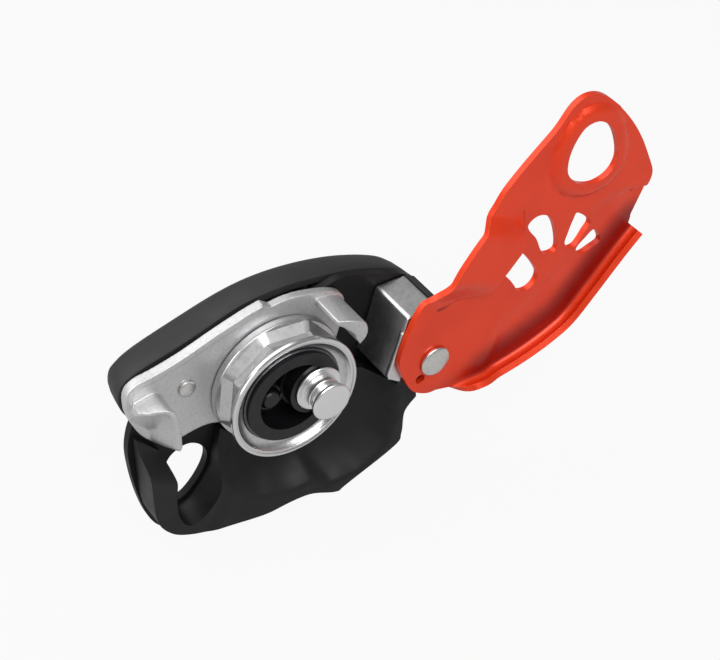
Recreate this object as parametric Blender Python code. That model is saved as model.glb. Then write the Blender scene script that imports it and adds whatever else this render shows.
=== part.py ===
"""Assisted braking belay device with a rope wheel, side plate swung open.

Sizes are in millimetres in a plan frame (x, z) with h as the height in front of the fixed plate.
In the model, x is +X, z is +Z and h is -Y. The origin is the middle of the cam axle head's front face.
"""

import math

import bmesh
import bpy
from mathutils import Vector
from mathutils.geometry import delaunay_2d_cdt

MM = 0.001

# Driving dimensions
AXLE = (0.0, 0.0)                 # cam axle and handle pivot
WHEEL = (-8.1, 0.75)              # wheel centre, off the axle so that the pull turns the cam
HINGE = (36.05, -3.0)             # rivet that the side plate swings on
PLATE_T = 2.5                     # fixed plate thickness
CAM_BACK, CAM_FRONT = 0.3, 2.8    # cam plate, in front of the fixed plate
SIDE_IN, SIDE_OUT = 17.8, 19.8    # side plate faces, which set the rope gap
SIDE_MID = (SIDE_IN + SIDE_OUT) / 2
SIDE_T = SIDE_OUT - SIDE_IN
GROOVE_R = 3.8                    # groove in the axle that the side plate slides into
HEAD_R = 6.1                      # axle head that keeps the side plate on
HEAD_FRONT = 21.4                 # height of the axle head's front face, where the origin is
CLOSE_ANGLE = math.radians(150)   # swing of the side plate from open to shut
HINGE_TO_AXLE = math.hypot(HINGE[0], HINGE[1])
STRIP_RISE = 3.9                  # lift of the side plate's leading strip over the axle head
HANDLE_FRONT, HANDLE_BACK = -3.5, -17.5

for old in list(bpy.data.objects):
    bpy.data.objects.remove(old, do_unlink=True)


# Materials

def material(name, colour, metallic, roughness):
    mat = bpy.data.materials.new(name)
    mat.use_nodes = True
    shader = mat.node_tree.nodes["Principled BSDF"]
    shader.inputs["Base Color"].default_value = (*colour, 1.0)
    shader.inputs["Metallic"].default_value = metallic
    shader.inputs["Roughness"].default_value = roughness
    mat.diffuse_color = (*colour, 1.0)
    return mat


BLACK_PLATE = material("black_plate", (0.03, 0.03, 0.032), 0.6, 0.45)
BLACK_NYLON = material("black_nylon", (0.028, 0.028, 0.03), 0.0, 0.6)
SATIN_CAM = material("satin_cam", (0.62, 0.61, 0.6), 1.0, 0.38)
STEEL = material("turned_steel", (0.66, 0.66, 0.66), 1.0, 0.25)
WHEEL_ALLOY = material("wheel_alloy", (0.5, 0.5, 0.51), 1.0, 0.32)
DARK_STEEL = material("dark_steel", (0.18, 0.18, 0.19), 1.0, 0.4)
ORANGE_PAINT = material("orange_paint", (0.8, 0.09, 0.03), 0.3, 0.35)


# Plan outlines

def arc(centre, radius, start, end, steps):
    """Points on an arc, angles in degrees."""
    points = []
    for i in range(steps + 1):
        a = math.radians(start + (end - start) * i / steps)
        points.append((centre[0] + radius * math.cos(a), centre[1] + radius * math.sin(a)))
    return points


def circle(centre, radius, steps=24):
    return arc(centre, radius, 0, 360, steps)[:-1]


def flowing(points, per=4, closed=True):
    """A smooth curve through the points."""
    n = len(points)
    out = []
    for i in range(n if closed else n - 1):
        if closed:
            p = [points[(i + k - 1) % n] for k in range(4)]
        else:
            p = [points[min(max(i + k - 1, 0), n - 1)] for k in range(4)]
        for j in range(per):
            t = j / per
            w = (
                (-t + 2 * t * t - t ** 3) / 2,
                (2 - 5 * t * t + 3 * t ** 3) / 2,
                (t + 4 * t * t - 3 * t ** 3) / 2,
                (-t * t + t ** 3) / 2,
            )
            out.append(tuple(sum(w[k] * p[k][axis] for k in range(4)) for axis in (0, 1)))
    if not closed:
        out.append(tuple(points[-1]))
    return out


def area(loop):
    return sum(a[0] * b[1] - b[0] * a[1] for a, b in zip(loop, loop[1:] + loop[:1])) / 2


def normals_out(loop):
    """Unit normals pointing out of a closed loop."""
    sign = 1 if area(loop) > 0 else -1
    out = []
    n = len(loop)
    for i in range(n):
        dx = loop[(i + 1) % n][0] - loop[i - 1][0]
        dz = loop[(i + 1) % n][1] - loop[i - 1][1]
        size = math.hypot(dx, dz) or 1.0
        out.append((sign * dz / size, -sign * dx / size))
    return out


def grown(loop, amount):
    """The loop moved outwards, or inwards for a negative amount."""
    return [(p[0] + n[0] * amount, p[1] + n[1] * amount) for p, n in zip(loop, normals_out(loop))]


def inset(loop, amount):
    """The loop moved inwards in small smoothed steps, so that tight corners don't fold over."""
    steps = max(1, math.ceil(amount / 0.4))
    for _ in range(steps):
        loop = grown(loop, -amount / steps)
        n = len(loop)
        loop = [
            tuple(0.2 * loop[i - 1][axis] + 0.6 * loop[i][axis] + 0.2 * loop[(i + 1) % n][axis] for axis in (0, 1))
            for i in range(n)
        ]
    return loop


def inside(p, loop):
    hit = False
    for a, b in zip(loop, loop[1:] + loop[:1]):
        if (a[1] > p[1]) != (b[1] > p[1]):
            if p[0] < (b[0] - a[0]) * (p[1] - a[1]) / (b[1] - a[1]) + a[0]:
                hit = not hit
    return hit


def distance(p, line, closed=True):
    best = 1e9
    pairs = zip(line, line[1:] + line[:1]) if closed else zip(line, line[1:])
    for a, b in pairs:
        dx, dz = b[0] - a[0], b[1] - a[1]
        t = ((p[0] - a[0]) * dx + (p[1] - a[1]) * dz) / (dx * dx + dz * dz + 1e-12)
        t = min(max(t, 0.0), 1.0)
        best = min(best, math.hypot(p[0] - a[0] - t * dx, p[1] - a[1] - t * dz))
    return best


def soft(value, start, end):
    """0 before start, 1 after end, smooth between."""
    t = min(max((value - start) / (end - start), 0.0), 1.0)
    return t * t * (3 - 2 * t)


def lookup(table, value):
    """Smooth reading of a short table of (value, result) pairs."""
    for (a, ra), (b, rb) in zip(table, table[1:]):
        if value <= b:
            return ra + (rb - ra) * soft(value, a, b)
    return table[-1][1]


def grid_points(loops, size):
    """An even spread of points in the first loop, clear of the others."""
    xs = [p[0] for p in loops[0]]
    zs = [p[1] for p in loops[0]]
    rows = int((max(zs) - min(zs)) / (size * 0.866)) + 1
    columns = int((max(xs) - min(xs)) / size) + 1
    out = []
    for r in range(rows + 1):
        for c in range(columns + 1):
            p = (min(xs) + (c + 0.5 * (r % 2)) * size, min(zs) + r * size * 0.866)
            if inside(p, loops[0]) and not any(inside(p, hole) for hole in loops[1:]):
                if all(distance(p, loop) > 0.45 * size for loop in loops):
                    out.append(p)
    return out


def triangulate(loops, extra=()):
    """Points and triangles that fill the first loop, less the others."""
    points = [p for loop in loops for p in loop] + list(extra)
    edges = []
    base = 0
    for loop in loops:
        n = len(loop)
        edges += [(base + i, base + (i + 1) % n) for i in range(n)]
        base += n
    _, _, faces, origin, _, _ = delaunay_2d_cdt([Vector(p) for p in points], edges, [], 0, 1e-6)
    triangles = []
    for face in faces:
        t = [origin[v][0] for v in face]
        middle = tuple(sum(points[v][axis] for v in t) / 3 for axis in (0, 1))
        if inside(middle, loops[0]) and not any(inside(middle, hole) for hole in loops[1:]):
            triangles.append(t)
    return points, triangles


# Solids

def place(x, z, h):
    return (x * MM, (HEAD_FRONT - h) * MM, z * MM)


def solid(name, points, faces, mat, pivot=AXLE):
    """One closed object from (x, z, h) points, with its origin on the pivot."""
    mesh = bpy.data.meshes.new(name)
    mesh.from_pydata([place(x - pivot[0], z - pivot[1], h + HEAD_FRONT) for x, z, h in points], [], faces)
    work = bmesh.new()
    work.from_mesh(mesh)
    bmesh.ops.recalc_face_normals(work, faces=work.faces)
    work.to_mesh(mesh)
    work.free()
    mesh.materials.append(mat)
    mesh.shade_smooth()
    mesh.set_sharp_from_angle(angle=math.radians(35))
    item = bpy.data.objects.new(name, mesh)
    item.location = place(pivot[0], pivot[1], 0)
    bpy.context.scene.collection.objects.link(item)
    return item


def stacked(name, layers, holes, mat, pivot=AXLE):
    """A solid from loops stacked front to back: layers are (loop, h), all with the same count of points."""
    points = []
    faces = []
    n = len(layers[0][0])
    for loop, h in layers:
        points += [(x, z, h) for x, z in loop]
    for k in range(len(layers) - 1):
        for i in range(n):
            j = (i + 1) % n
            faces.append((k * n + i, k * n + j, (k + 1) * n + j, (k + 1) * n + i))
    hole_starts = []
    for hole in holes:
        start = len(points)
        m = len(hole)
        points += [(x, z, layers[0][1]) for x, z in hole] + [(x, z, layers[-1][1]) for x, z in hole]
        faces += [(start + i, start + (i + 1) % m, start + m + (i + 1) % m, start + m + i) for i in range(m)]
        hole_starts.append((start, m))
    for end, k in ((0, 0), (1, len(layers) - 1)):
        index = [k * n + i for i in range(n)]
        for start, m in hole_starts:
            index += [start + end * m + i for i in range(m)]
        _, triangles = triangulate([layers[k][0]] + holes)
        faces += [tuple(index[v] for v in t) for t in triangles]
    return solid(name, points, faces, mat, pivot)


def plate(name, outline, back, front, mat, holes=(), edge=0.4, pivot=AXLE):
    """A flat plate with a small chamfer round its outline."""
    slim = grown(outline, -edge)
    layers = [(slim, back), (outline, back + edge), (outline, front - edge), (slim, front)]
    return stacked(name, layers, list(holes), mat, pivot)


def relief(name, outline, holes, back, top, mat, grid, pivot=AXLE):
    """A block with a flat back and a front whose height is top(x, z)."""
    loops = [outline] + list(holes)
    front_points, front_faces = triangulate(loops, grid_points(loops, grid))
    rim = sum(len(loop) for loop in loops)
    points = [(x, z, top(x, z)) for x, z in front_points]
    faces = [tuple(t) for t in front_faces]
    base = len(points)
    points += [(x, z, back) for x, z in front_points[:rim]]
    _, back_faces = triangulate(loops)
    faces += [tuple(base + v for v in t) for t in back_faces]
    start = 0
    for loop in loops:
        n = len(loop)
        for i in range(n):
            a, b = start + i, start + (i + 1) % n
            faces.append((a, b, base + b, base + a))
        start += n
    return solid(name, points, faces, mat, pivot)


def turned(name, profile, centre, mat, steps=48, pivot=None, radius=None):
    """A closed (r, h) profile turned about the centre. A point with r 0 lies on the axis."""
    points = []
    faces = []
    rings = []
    for k, (r, h) in enumerate(profile):
        if r == 0:
            rings.append([len(points)] * steps)
            points.append((centre[0], centre[1], h))
            continue
        rings.append(list(range(len(points), len(points) + steps)))
        for i in range(steps):
            a = 2 * math.pi * i / steps
            size = radius(k, r, a) if radius else r
            points.append((centre[0] + size * math.cos(a), centre[1] + size * math.sin(a), h))
    for k in range(len(profile)):
        one, two = rings[k], rings[(k + 1) % len(profile)]
        if profile[k][0] == 0 and profile[(k + 1) % len(profile)][0] == 0:
            continue
        for i in range(steps):
            j = (i + 1) % steps
            face = []
            for v in (one[i], one[j], two[j], two[i]):
                if v not in face:
                    face.append(v)
            faces.append(tuple(face))
    return solid(name, points, faces, mat, centre if pivot is None else pivot)


def ring(name, inner, outer, back, front, centre, mat, steps=48, edge=0.25, pivot=None):
    profile = [
        (inner, back), (outer - edge, back), (outer, back + edge), (outer, front - edge),
        (outer - edge, front), (inner, front),
    ]
    return turned(name, profile, centre, mat, steps, pivot)


def coil(name, centre, radius, wire, back, front, turns, mat, per_turn=12, sides=5, pivot=AXLE):
    """A helical spring with its ends closed flat."""
    points = []
    faces = []
    count = int(turns * per_turn)
    for i in range(count + 1):
        a = 2 * math.pi * i / per_turn
        h = back + wire + (front - back - 2 * wire) * i / count
        for k in range(sides):
            b = 2 * math.pi * k / sides
            r = radius + wire * math.cos(b)
            points.append((centre[0] + r * math.cos(a), centre[1] + r * math.sin(a), h + wire * math.sin(b)))
    for i in range(count):
        for k in range(sides):
            m = (k + 1) % sides
            faces.append((i * sides + k, i * sides + m, (i + 1) * sides + m, (i + 1) * sides + k))
    faces.append(tuple(range(sides)))
    faces.append(tuple(range(count * sides, (count + 1) * sides)))
    return solid(name, points, faces, mat, pivot)


def combine(item, tool, operation, solver="EXACT"):
    """Adds or cuts a hidden tool body."""
    step = item.modifiers.new(tool.name, "BOOLEAN")
    step.operation = operation
    step.solver = solver
    step.object = tool
    tool.hide_render = True
    tool.display_type = "WIRE"
    return item


# Fixed side plate: eye end at -X, friction block end at +X

EYE_HOLE = flowing([
    (-43.4, -19.6), (-41.6, -16.4), (-38.0, -14.6), (-34.6, -14.9), (-31.6, -17.4), (-30.0, -21.5),
    (-31.2, -26.2), (-34.6, -31.2), (-38.6, -34.6), (-41.8, -34.6), (-43.7, -30.6), (-44.2, -25.0),
], 3)
FIXED_OUTLINE = flowing([
    (10.6, 22.2), (17.1, 23.1), (24.0, 21.1), (31.0, 18.0), (38.5, 14.6), (44.4, 8.4), (47.0, 0.0),
    (45.6, -9.0), (39.6, -18.0), (33.8, -25.4), (30.2, -35.0), (24.2, -41.8), (9.0, -47.6), (-4.5, -45.6),
    (-19.0, -46.0), (-34.0, -45.6), (-44.5, -44.4), (-49.6, -38.6), (-52.6, -27.7), (-54.2, -14.5),
    (-54.0, -5.0), (-50.8, 3.8), (-43.0, 12.2), (-28.0, 17.6), (-12.0, 20.8), (2.0, 21.6),
], 3)
DRIVE_R = 14.0
DRIVE_START = 150.0
HANDLE_TURN = 140.0
slot_middle = arc(AXLE, DRIVE_R, DRIVE_START - 1, DRIVE_START + HANDLE_TURN + 1, 10)
DRIVE_SLOT = (
    arc(AXLE, DRIVE_R + 2.1, DRIVE_START - 1, DRIVE_START + HANDLE_TURN + 1, 10)
    + arc(slot_middle[-1], 2.1, DRIVE_START + HANDLE_TURN + 31, DRIVE_START + HANDLE_TURN + 151, 4)
    + arc(AXLE, DRIVE_R - 2.1, DRIVE_START + HANDLE_TURN + 1, DRIVE_START - 1, 10)
    + arc(slot_middle[0], 2.1, DRIVE_START + 209, DRIVE_START + 329, 4)
)
BLOCK_RIVETS = ((32.6, 7.6), (32.0, -10.4))
GUIDE_SCREWS = ((-48.6, -20.0), (-20.0, -39.6), (24.6, -28.0))
RIVET_R = 1.6
fixed_holes = [EYE_HOLE, circle(AXLE, 4.3), DRIVE_SLOT, circle(HINGE, 3.1, 24)]
fixed_holes += [circle(p, RIVET_R + 0.1, 16) for p in BLOCK_RIVETS + GUIDE_SCREWS]
plate("fixed_side_plate", FIXED_OUTLINE, -PLATE_T, 0.0, BLACK_PLATE, fixed_holes)


# Rope guide: hook beside the eye, dish round the wheel and a raised rim

CREST_R = [
    (200, 30.0), (212, 30.6), (222, 32.2), (232, 35.4), (241, 37.4), (256, 38.6), (272, 39.8),
    (277, 39.4), (288, 45.6), (300, 48.6), (311, 48.8), (320, 45.6), (327, 42.0), (340, 38.0),
]
CREST_H = [
    (200, 4.5), (212, 6.5), (226, 8.5), (241, 10.6), (262, 12.0), (276, 12.6), (290, 13.8), (316, 14.0), (340, 13.0),
]
DISH_R = 21.7
DISH_FLOOR = 2.4


def guide_top(x, z):
    dx, dz = x - WHEEL[0], z - WHEEL[1]
    r, a = math.hypot(dx, dz), math.degrees(math.atan2(dz, dx)) % 360
    crest, height = lookup(CREST_R, a), lookup(CREST_H, a)
    share = min(max((r - DISH_R) / (crest - DISH_R), 0.0), 1.0)
    dish = DISH_FLOOR + (height - DISH_FLOOR) * share ** 2.3
    hook = 10.0 - 7.6 * soft(z + 0.75 * (x + 52.4), -11.6, -4.5)
    land = max(height, 10.0)
    past_hole = soft(-x, 38.0, 44.0)
    under_hole = soft(r, crest, crest + 4.0)
    plain = dish + (land - dish) * under_hole * soft(a, 262, 232)
    return plain + (hook - plain) * past_hole


GUIDE_OUTLINE = (
    flowing([
        (-52.4, -2.2), (-52.5, -14.0), (-52.1, -28.0), (-48.8, -35.2), (-43.2, -39.6), (-33.6, -42.8),
        (-18.2, -44.4), (-4.6, -43.6), (5.6, -47.0), (9.4, -45.6), (26.6, -38.6), (29.2, -34.2),
        (30.4, -26.2), (34.8, -22.4),
    ], 3, closed=False)
    + flowing([(34.6, -16.6), (27.4, -13.4), (20.4, -9.6)], 3, closed=False)
    + arc(WHEEL, DISH_R, 332, 214, 22)
    + flowing([
        (-27.4, -15.4), (-28.7, -20.6), (-29.9, -26.4), (-33.7, -32.2), (-38.2, -36.0), (-42.4, -36.2),
        (-45.0, -31.4), (-45.4, -25.0), (-44.6, -17.6), (-44.9, -13.4), (-45.6, -9.9),
    ], 2, closed=False)
    + [(-50.4, -4.2)]
)

SCREW_DEPTH = 5.0
guide = relief("rope_guide", GUIDE_OUTLINE, [], 0.2, guide_top, BLACK_NYLON, 3.4)
for k, p in enumerate(GUIDE_SCREWS):
    bore = plate(f"guide_bore_{k + 1}", circle(p, RIVET_R + 0.1, 16), -0.5, SCREW_DEPTH + 0.3, BLACK_NYLON, edge=0.0)
    combine(guide, bore, "DIFFERENCE")


def blind_rivet(name, centre, front):
    """A rivet from behind the fixed plate, with a low head that clears the handle."""
    profile = [
        (0, -3.15), (2.4, -3.15), (2.7, -2.95), (2.7, -2.65), (RIVET_R, -2.65), (RIVET_R, front), (0, front),
    ]
    turned(name, profile, centre, STEEL, 16)


for k, p in enumerate(GUIDE_SCREWS):
    blind_rivet(f"guide_rivet_{k + 1}", p, SCREW_DEPTH)


# Cam: plate with an S-shaped tab beside the eye and a nose that pinches the rope

CAM_OUTLINE = (
    flowing([
        (-49.6, -2.5), (-51.6, 1.0), (-53.6, 6.4), (-54.4, 11.5), (-53.7, 16.6), (-50.6, 19.0), (-44.7, 19.8),
        (-36.0, 21.6), (-26.0, 24.6), (-16.0, 27.2), (-10.4, 28.2),
    ], 3, closed=False)
    + flowing([
        (-8.0, 26.2), (-1.2, 26.2), (4.9, 24.9), (11.0, 22.8), (15.0, 20.2), (16.2, 16.4), (15.2, 10.2), (12.8, 3.0),
        (9.0, -6.4), (0.0, -13.6), (-9.0, -16.4), (-18.4, -14.4), (-26.0, -9.0), (-31.6, -7.3), (-38.0, -7.9),
    ], 2, closed=False)
    + [(-42.6, -8.9), (-44.0, -9.0)]
)
BUSH_R = 5.4
CAM_RIVET = (-35.8, 9.7)
cam_holes = [circle(AXLE, BUSH_R + 0.1), circle(CAM_RIVET, 1.4, 16)]
cam = plate("cam_plate", CAM_OUTLINE, CAM_BACK, CAM_FRONT, SATIN_CAM, cam_holes)

TAB_LINE = flowing([
    (-52.4, 12.3), (-50.0, 12.7), (-47.4, 13.2), (-45.2, 12.8), (-43.7, 10.9), (-43.0, 7.0), (-42.8, 3.0),
    (-43.0, -2.0),
], 3, closed=False)
TAB_CREST = [(-52.4, 7.2), (-50.0, 9.2), (-47.4, 10.5), (-45.2, 11.4), (-43.6, 12.0)]
TAB_BAND = 1.6
TAB_SIDE = 2.3


def tab_top(x, z):
    """Height of the S-shaped tab: a narrow crest, a steep hollow side and a broad sloping face."""
    nearest = min(TAB_LINE, key=lambda p: math.hypot(x - p[0], z - p[1]))
    crest = lookup(TAB_CREST, nearest[0])
    side = crest - TAB_SIDE * max(math.hypot(x - nearest[0], z - nearest[1]) - TAB_BAND, 0.0)
    face = 7.3 + 0.92 * (x + 52.2) + 0.68 * (z - 12.4)
    return max(min(face, crest), side, CAM_FRONT + 0.2)


tab_outline = TAB_LINE + flowing([
    (-43.4, -4.6), (-44.2, -7.4), (-45.6, -6.2), (-48.2, -2.4), (-50.4, 1.6), (-52.1, 6.6), (-52.8, 10.2),
], 2, closed=False)
tab = relief("cam_tab_body", tab_outline, [], 1.2, tab_top, SATIN_CAM, 1.8)
combine(cam, tab, "UNION")

NOSE_OUTLINE = (
    flowing([(6.5, 22.2), (10.4, 21.6), (14.0, 19.9), (15.3, 17.4), (15.1, 13.6), (13.8, 10.2)], 2, closed=False)
    + arc(WHEEL, 23.9, 27, 31, 1)
    + arc(WHEEL, 24.6, 36, 54, 4)
)


def nose_top(x, z):
    return 14.2 + 2.0 * soft(x + 0.6 * z, 18.0, 25.0)


nose = relief("cam_nose_body", NOSE_OUTLINE, [], 1.2, nose_top, SATIN_CAM, 2.2)
combine(cam, nose, "UNION")

rivet_profile = [(0, 0.5), (1.3, 0.5), (1.3, 3.0), (2.6, 3.0), (2.6, 3.5), (2.1, 3.9), (0, 3.9)]
turned("cam_plate_rivet", rivet_profile, CAM_RIVET, STEEL, 20, AXLE)


# Hub drum fixed to the cam plate, with the axle bush set to one side

DRUM_R = 15.0
DRUM_FRONT = 14.4
COLLAR_BACK = 13.7
drum = plate("hub_drum", circle(WHEEL, DRUM_R - 0.4, 40), 3.1, 5.5, BLACK_PLATE, edge=0.2, pivot=AXLE)
wall = ring("drum_wall", 11.2, DRUM_R, 4.2, DRUM_FRONT, WHEEL, BLACK_PLATE, 40, 0.3)
combine(drum, wall, "UNION", "MANIFOLD")
WEB_OUTLINE = arc(AXLE, 9.0, 105, 255, 12) + arc(WHEEL, 12.6, -44, 44, 6)
web = plate("drum_web", WEB_OUTLINE, 4.6, COLLAR_BACK - 0.2, BLACK_PLATE, edge=0.2)
combine(drum, web, "UNION", "MANIFOLD")
bore = plate("drum_bore", circle(AXLE, BUSH_R + 0.1), 2.0, 16.0, BLACK_PLATE, edge=0.0)
combine(drum, bore, "DIFFERENCE", "MANIFOLD")
recess = plate("drum_recess", circle(AXLE, 7.5), COLLAR_BACK - 0.25, 16.0, BLACK_PLATE, edge=0.0)
combine(drum, recess, "DIFFERENCE", "MANIFOLD")

ring("cam_bush", 4.1, BUSH_R, CAM_BACK, COLLAR_BACK - 0.2, AXLE, DARK_STEEL, 24)

SPRING_POST = (-14.2, 0.75)
turned("spring_post", [(0, 5.6), (2.8, 5.6), (2.8, 11.6), (2.4, 12.0), (0, 12.0)], SPRING_POST, STEEL, 20, AXLE)
coil("cam_return_spring", SPRING_POST, 3.9, 0.45, 5.7, 11.0, 5, STEEL)


# Rope wheel: eight facets in the groove, dished front face

FACET_FLAT = 17.0
FACET_START = 61.875
wheel_profile = [
    (15.9, 3.1), (20.2, 3.1), (20.7, 3.6), (20.7, 5.6), (FACET_FLAT, 8.0), (FACET_FLAT, 10.2),
    (20.1, 13.2), (20.5, 13.7), (20.5, 14.7), (20.2, 15.0), (19.2, 15.0), (19.0, 14.7), (18.7, 14.9), (15.9, 13.9),
]


def wheel_radius(k, r, a):
    if k not in (4, 5):
        return r
    off_corner = (math.degrees(a) - FACET_START) % 45.0
    return r / math.cos(math.radians(off_corner - 22.5))


turned("rope_wheel", wheel_profile, WHEEL, WHEEL_ALLOY, 64, radius=wheel_radius)
ring("wheel_sleeve", DRUM_R + 0.12, 15.75, 3.6, 13.3, WHEEL, DARK_STEEL, 40, 0.15)


# Cam axle: collar, neck, groove for the side plate and a round head

axle_profile = [
    (0, -18.4), (3.6, -18.4), (4.0, -18.0), (4.0, COLLAR_BACK), (7.3, COLLAR_BACK), (7.3, 14.3), (7.1, 14.5),
    (5.3, 14.5), (5.3, 17.3), (5.1, 17.5), (GROOVE_R, 17.5), (GROOVE_R, 20.1), (5.8, 20.1), (HEAD_R, 20.4),
    (HEAD_R, 20.9), (5.6, HEAD_FRONT), (0, HEAD_FRONT),
]
turned("cam_axle", axle_profile, AXLE, STEEL, 24)
ring("axle_rear_washer", 4.2, 7.6, -18.3, -17.7, AXLE, STEEL, 24, 0.15)
cap_profile = [(0, -20.6), (3.4, -20.3), (5.2, -19.6), (5.8, -18.9), (5.8, -18.6), (0, -18.6)]
turned("axle_rear_cap", cap_profile, AXLE, DARK_STEEL, 24)


# Friction block: black core behind a bent metal wear plate

CORE_FRONT = 17.0
FOOT_BACK = 16.2
CORE_OUTLINE = [
    (30.5, 12.2), (38.7, 12.2), (38.9, 14.3), (42.0, 12.6), (44.4, 7.0), (45.6, 0.0), (45.0, -6.0), (42.0, -11.0),
    (38.0, -13.2), (33.0, -14.0), (28.4, -12.4), (25.6, -9.4), (24.2, -6.4), (27.8, 4.8),
]
WEAR_OUTLINE = [
    (38.4, 14.6), (29.2, 14.9), (28.4, 14.6), (28.0, 13.6), (25.5, 5.2), (21.6, -5.6), (23.7, -6.5), (27.4, 4.6),
    (30.2, 12.5), (38.4, 12.5),
]
FOOT_OUTLINE = [(26.4, 9.8), (21.5, -4.2), (21.9, -5.6), (25.8, -8.6), (28.4, -2.4), (30.0, 7.0), (29.4, 9.2)]
core = plate("friction_block", CORE_OUTLINE, 0.3, CORE_FRONT, BLACK_NYLON, [circle(HINGE, 3.2, 24)], 0.5)
for k, p in enumerate(BLOCK_RIVETS):
    bore = plate(f"block_bore_{k + 1}", circle(p, RIVET_R + 0.2, 16), -0.5, 14.3, BLACK_NYLON, edge=0.0)
    combine(core, bore, "DIFFERENCE")
    blind_rivet(f"block_rivet_{k + 1}", p, 14.0)
foot_room = plate("foot_room", grown(FOOT_OUTLINE, 0.3), FOOT_BACK - 0.3, 18.5, BLACK_NYLON, edge=0.0)
combine(core, foot_room, "DIFFERENCE")
wear = plate("friction_plate", WEAR_OUTLINE, 0.3, CORE_FRONT + 0.2, STEEL, edge=0.25)
foot = plate("friction_foot_body", FOOT_OUTLINE, FOOT_BACK, CORE_FRONT + 0.4, STEEL, edge=0.2)
combine(wear, foot, "UNION")

hinge_profile = [
    (0, -3.15), (4.2, -3.15), (4.5, -2.95), (4.5, -2.65), (2.9, -2.65), (2.9, 20.0), (4.85, 20.0), (4.85, 20.6),
    (4.4, 21.2), (2.6, 21.7), (0, 21.8),
]
turned("side_plate_rivet", hinge_profile, HINGE, STEEL, 20)
ring("side_plate_washer", 3.1, 6.0, 17.15, 17.65, HINGE, STEEL, 20, 0.15)


# Moving side plate: a formed sheet, drawn from its hinge in the open position

SLOT_HALF = 4.1
SLIT = 0.22
shut_angle = math.degrees(math.atan2(AXLE[1] - HINGE[1], AXLE[0] - HINGE[0]) - CLOSE_ANGLE)
FREE_EDGE = 48.0
SLIT_OUTER = [(27.2, 30.0), (28.3, 32.2), (29.0, 36.0), (29.9, 42.4)]
SLIT_INNER = [(21.2, 23.8), (19.9, 22.0), (17.7, 19.7), (15.0, 18.9), (8.1, 19.5), (2.0, 18.8)]
STRIP_AREA = (
    SLIT_INNER[::-1] + SLIT_OUTER + [(34.0, 66.0), (10.0, 62.0), (-10.0, 28.0), (-6.0, 17.0)]
)
LIP_BEND = flowing([
    (4.4, -12.6), (11.4, -12.4), (20.8, -12.7), (27.8, -11.8), (34.7, -10.3), (41.7, -8.0), (48.0, -4.8),
    (55.0, 2.0), (61.9, 9.2), (67.2, 14.6), (71.9, 19.0),
], 3, closed=False)
LIP_BEND_R = 3.0
LIP_TURN = math.radians(135)
SIDE_OUTLINE = (
    [(72.3, 20.8)]
    + flowing([
        (72.4, 22.2), (74.6, 27.0), (77.4, 33.2), (77.9, 37.0), (75.8, 42.5), (71.9, 51.0), (67.0, 59.0),
        (60.6, 67.0), (55.0, 72.0), (49.6, 73.6), (44.8, 71.9), (39.6, 66.0), (33.5, 61.0), (27.8, 56.2),
        (22.8, 51.4), (18.6, 45.6), (13.3, 41.0), (9.2, 36.4), (5.6, 31.8), (2.4, 26.4), (-0.6, 23.4),
        (-4.2, 22.4), (-7.4, 17.4), (-10.6, 10.6), (-12.2, 4.0), (-10.2, -3.2), (-7.2, -9.0), (-2.6, -12.2),
        (1.0, -12.8),
    ], 2, closed=False)
)
WINDOW_2 = flowing([
    (37.8, 37.2), (34.4, 37.9), (31.8, 36.2), (32.4, 33.8), (35.2, 29.6), (37.6, 23.8), (40.4, 21.8), (43.2, 22.6),
    (42.6, 28.4), (40.6, 34.0),
], 2)
WINDOW_3 = flowing([
    (50.2, 32.8), (48.6, 31.0), (47.0, 26.6), (46.2, 23.2), (48.2, 20.4), (51.0, 20.2), (53.8, 23.8), (55.6, 27.2),
], 2)
WINDOW_4 = flowing([(57.9, 22.9), (54.2, 21.4), (51.2, 18.6), (53.4, 15.4), (57.4, 15.8), (61.0, 17.4)], 2)
SIDE_EYE = flowing([
    (43.1, 53.6), (44.4, 59.2), (48.2, 64.2), (53.4, 64.6), (58.2, 60.6), (61.0, 54.0), (61.6, 48.2), (58.9, 44.2),
    (53.6, 43.0), (47.9, 45.2), (44.0, 49.4),
], 2)
TROUGH_START = [
    (62.0, 34.0), (57.5, 32.3), (54.7, 27.8), (52.6, 22.9), (48.7, 19.2), (43.3, 14.4), (36.0, 9.2), (29.9, 5.6),
    (23.0, 3.4), (17.0, 2.4), (11.9, -0.5), (7.5, -3.6), (6.0, -9.0),
]
TROUGH_AREA = TROUGH_START + LIP_BEND + [(90.0, 30.0)]
TROUGH_DEPTH = 1.1


def lip_width(i):
    """Developed width of the rolled lip at a bend point: it fades in beside the rivet."""
    return LIP_BEND_R * LIP_TURN * (0.14 + 0.86 * soft(LIP_BEND[i][0], 3.0, 15.0))


def bend_normal(i):
    a, b = LIP_BEND[max(i - 1, 0)], LIP_BEND[min(i + 1, len(LIP_BEND) - 1)]
    size = math.hypot(b[0] - a[0], b[1] - a[1])
    return ((b[1] - a[1]) / size, (a[0] - b[0]) / size)


def side_height(x, z):
    """Height of the sheet's middle surface inside the bend."""
    r = math.hypot(x, z)
    h = SIDE_MID
    if inside((x, z), STRIP_AREA):
        along = soft(r, 20.0, 29.0) * (1 - soft(r, 43.0, 50.5))
        h += STRIP_RISE * along * soft(x, -3.5, 3.5)
    if inside((x, z), TROUGH_AREA):
        h -= TROUGH_DEPTH * soft(distance((x, z), TROUGH_START, closed=False), 0.0, 6.0) * soft(r, 21.0, 26.0)
    h += 1.1 * (1 - soft(distance((x, z), SIDE_EYE), 2.5, 5.0))
    return h


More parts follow.
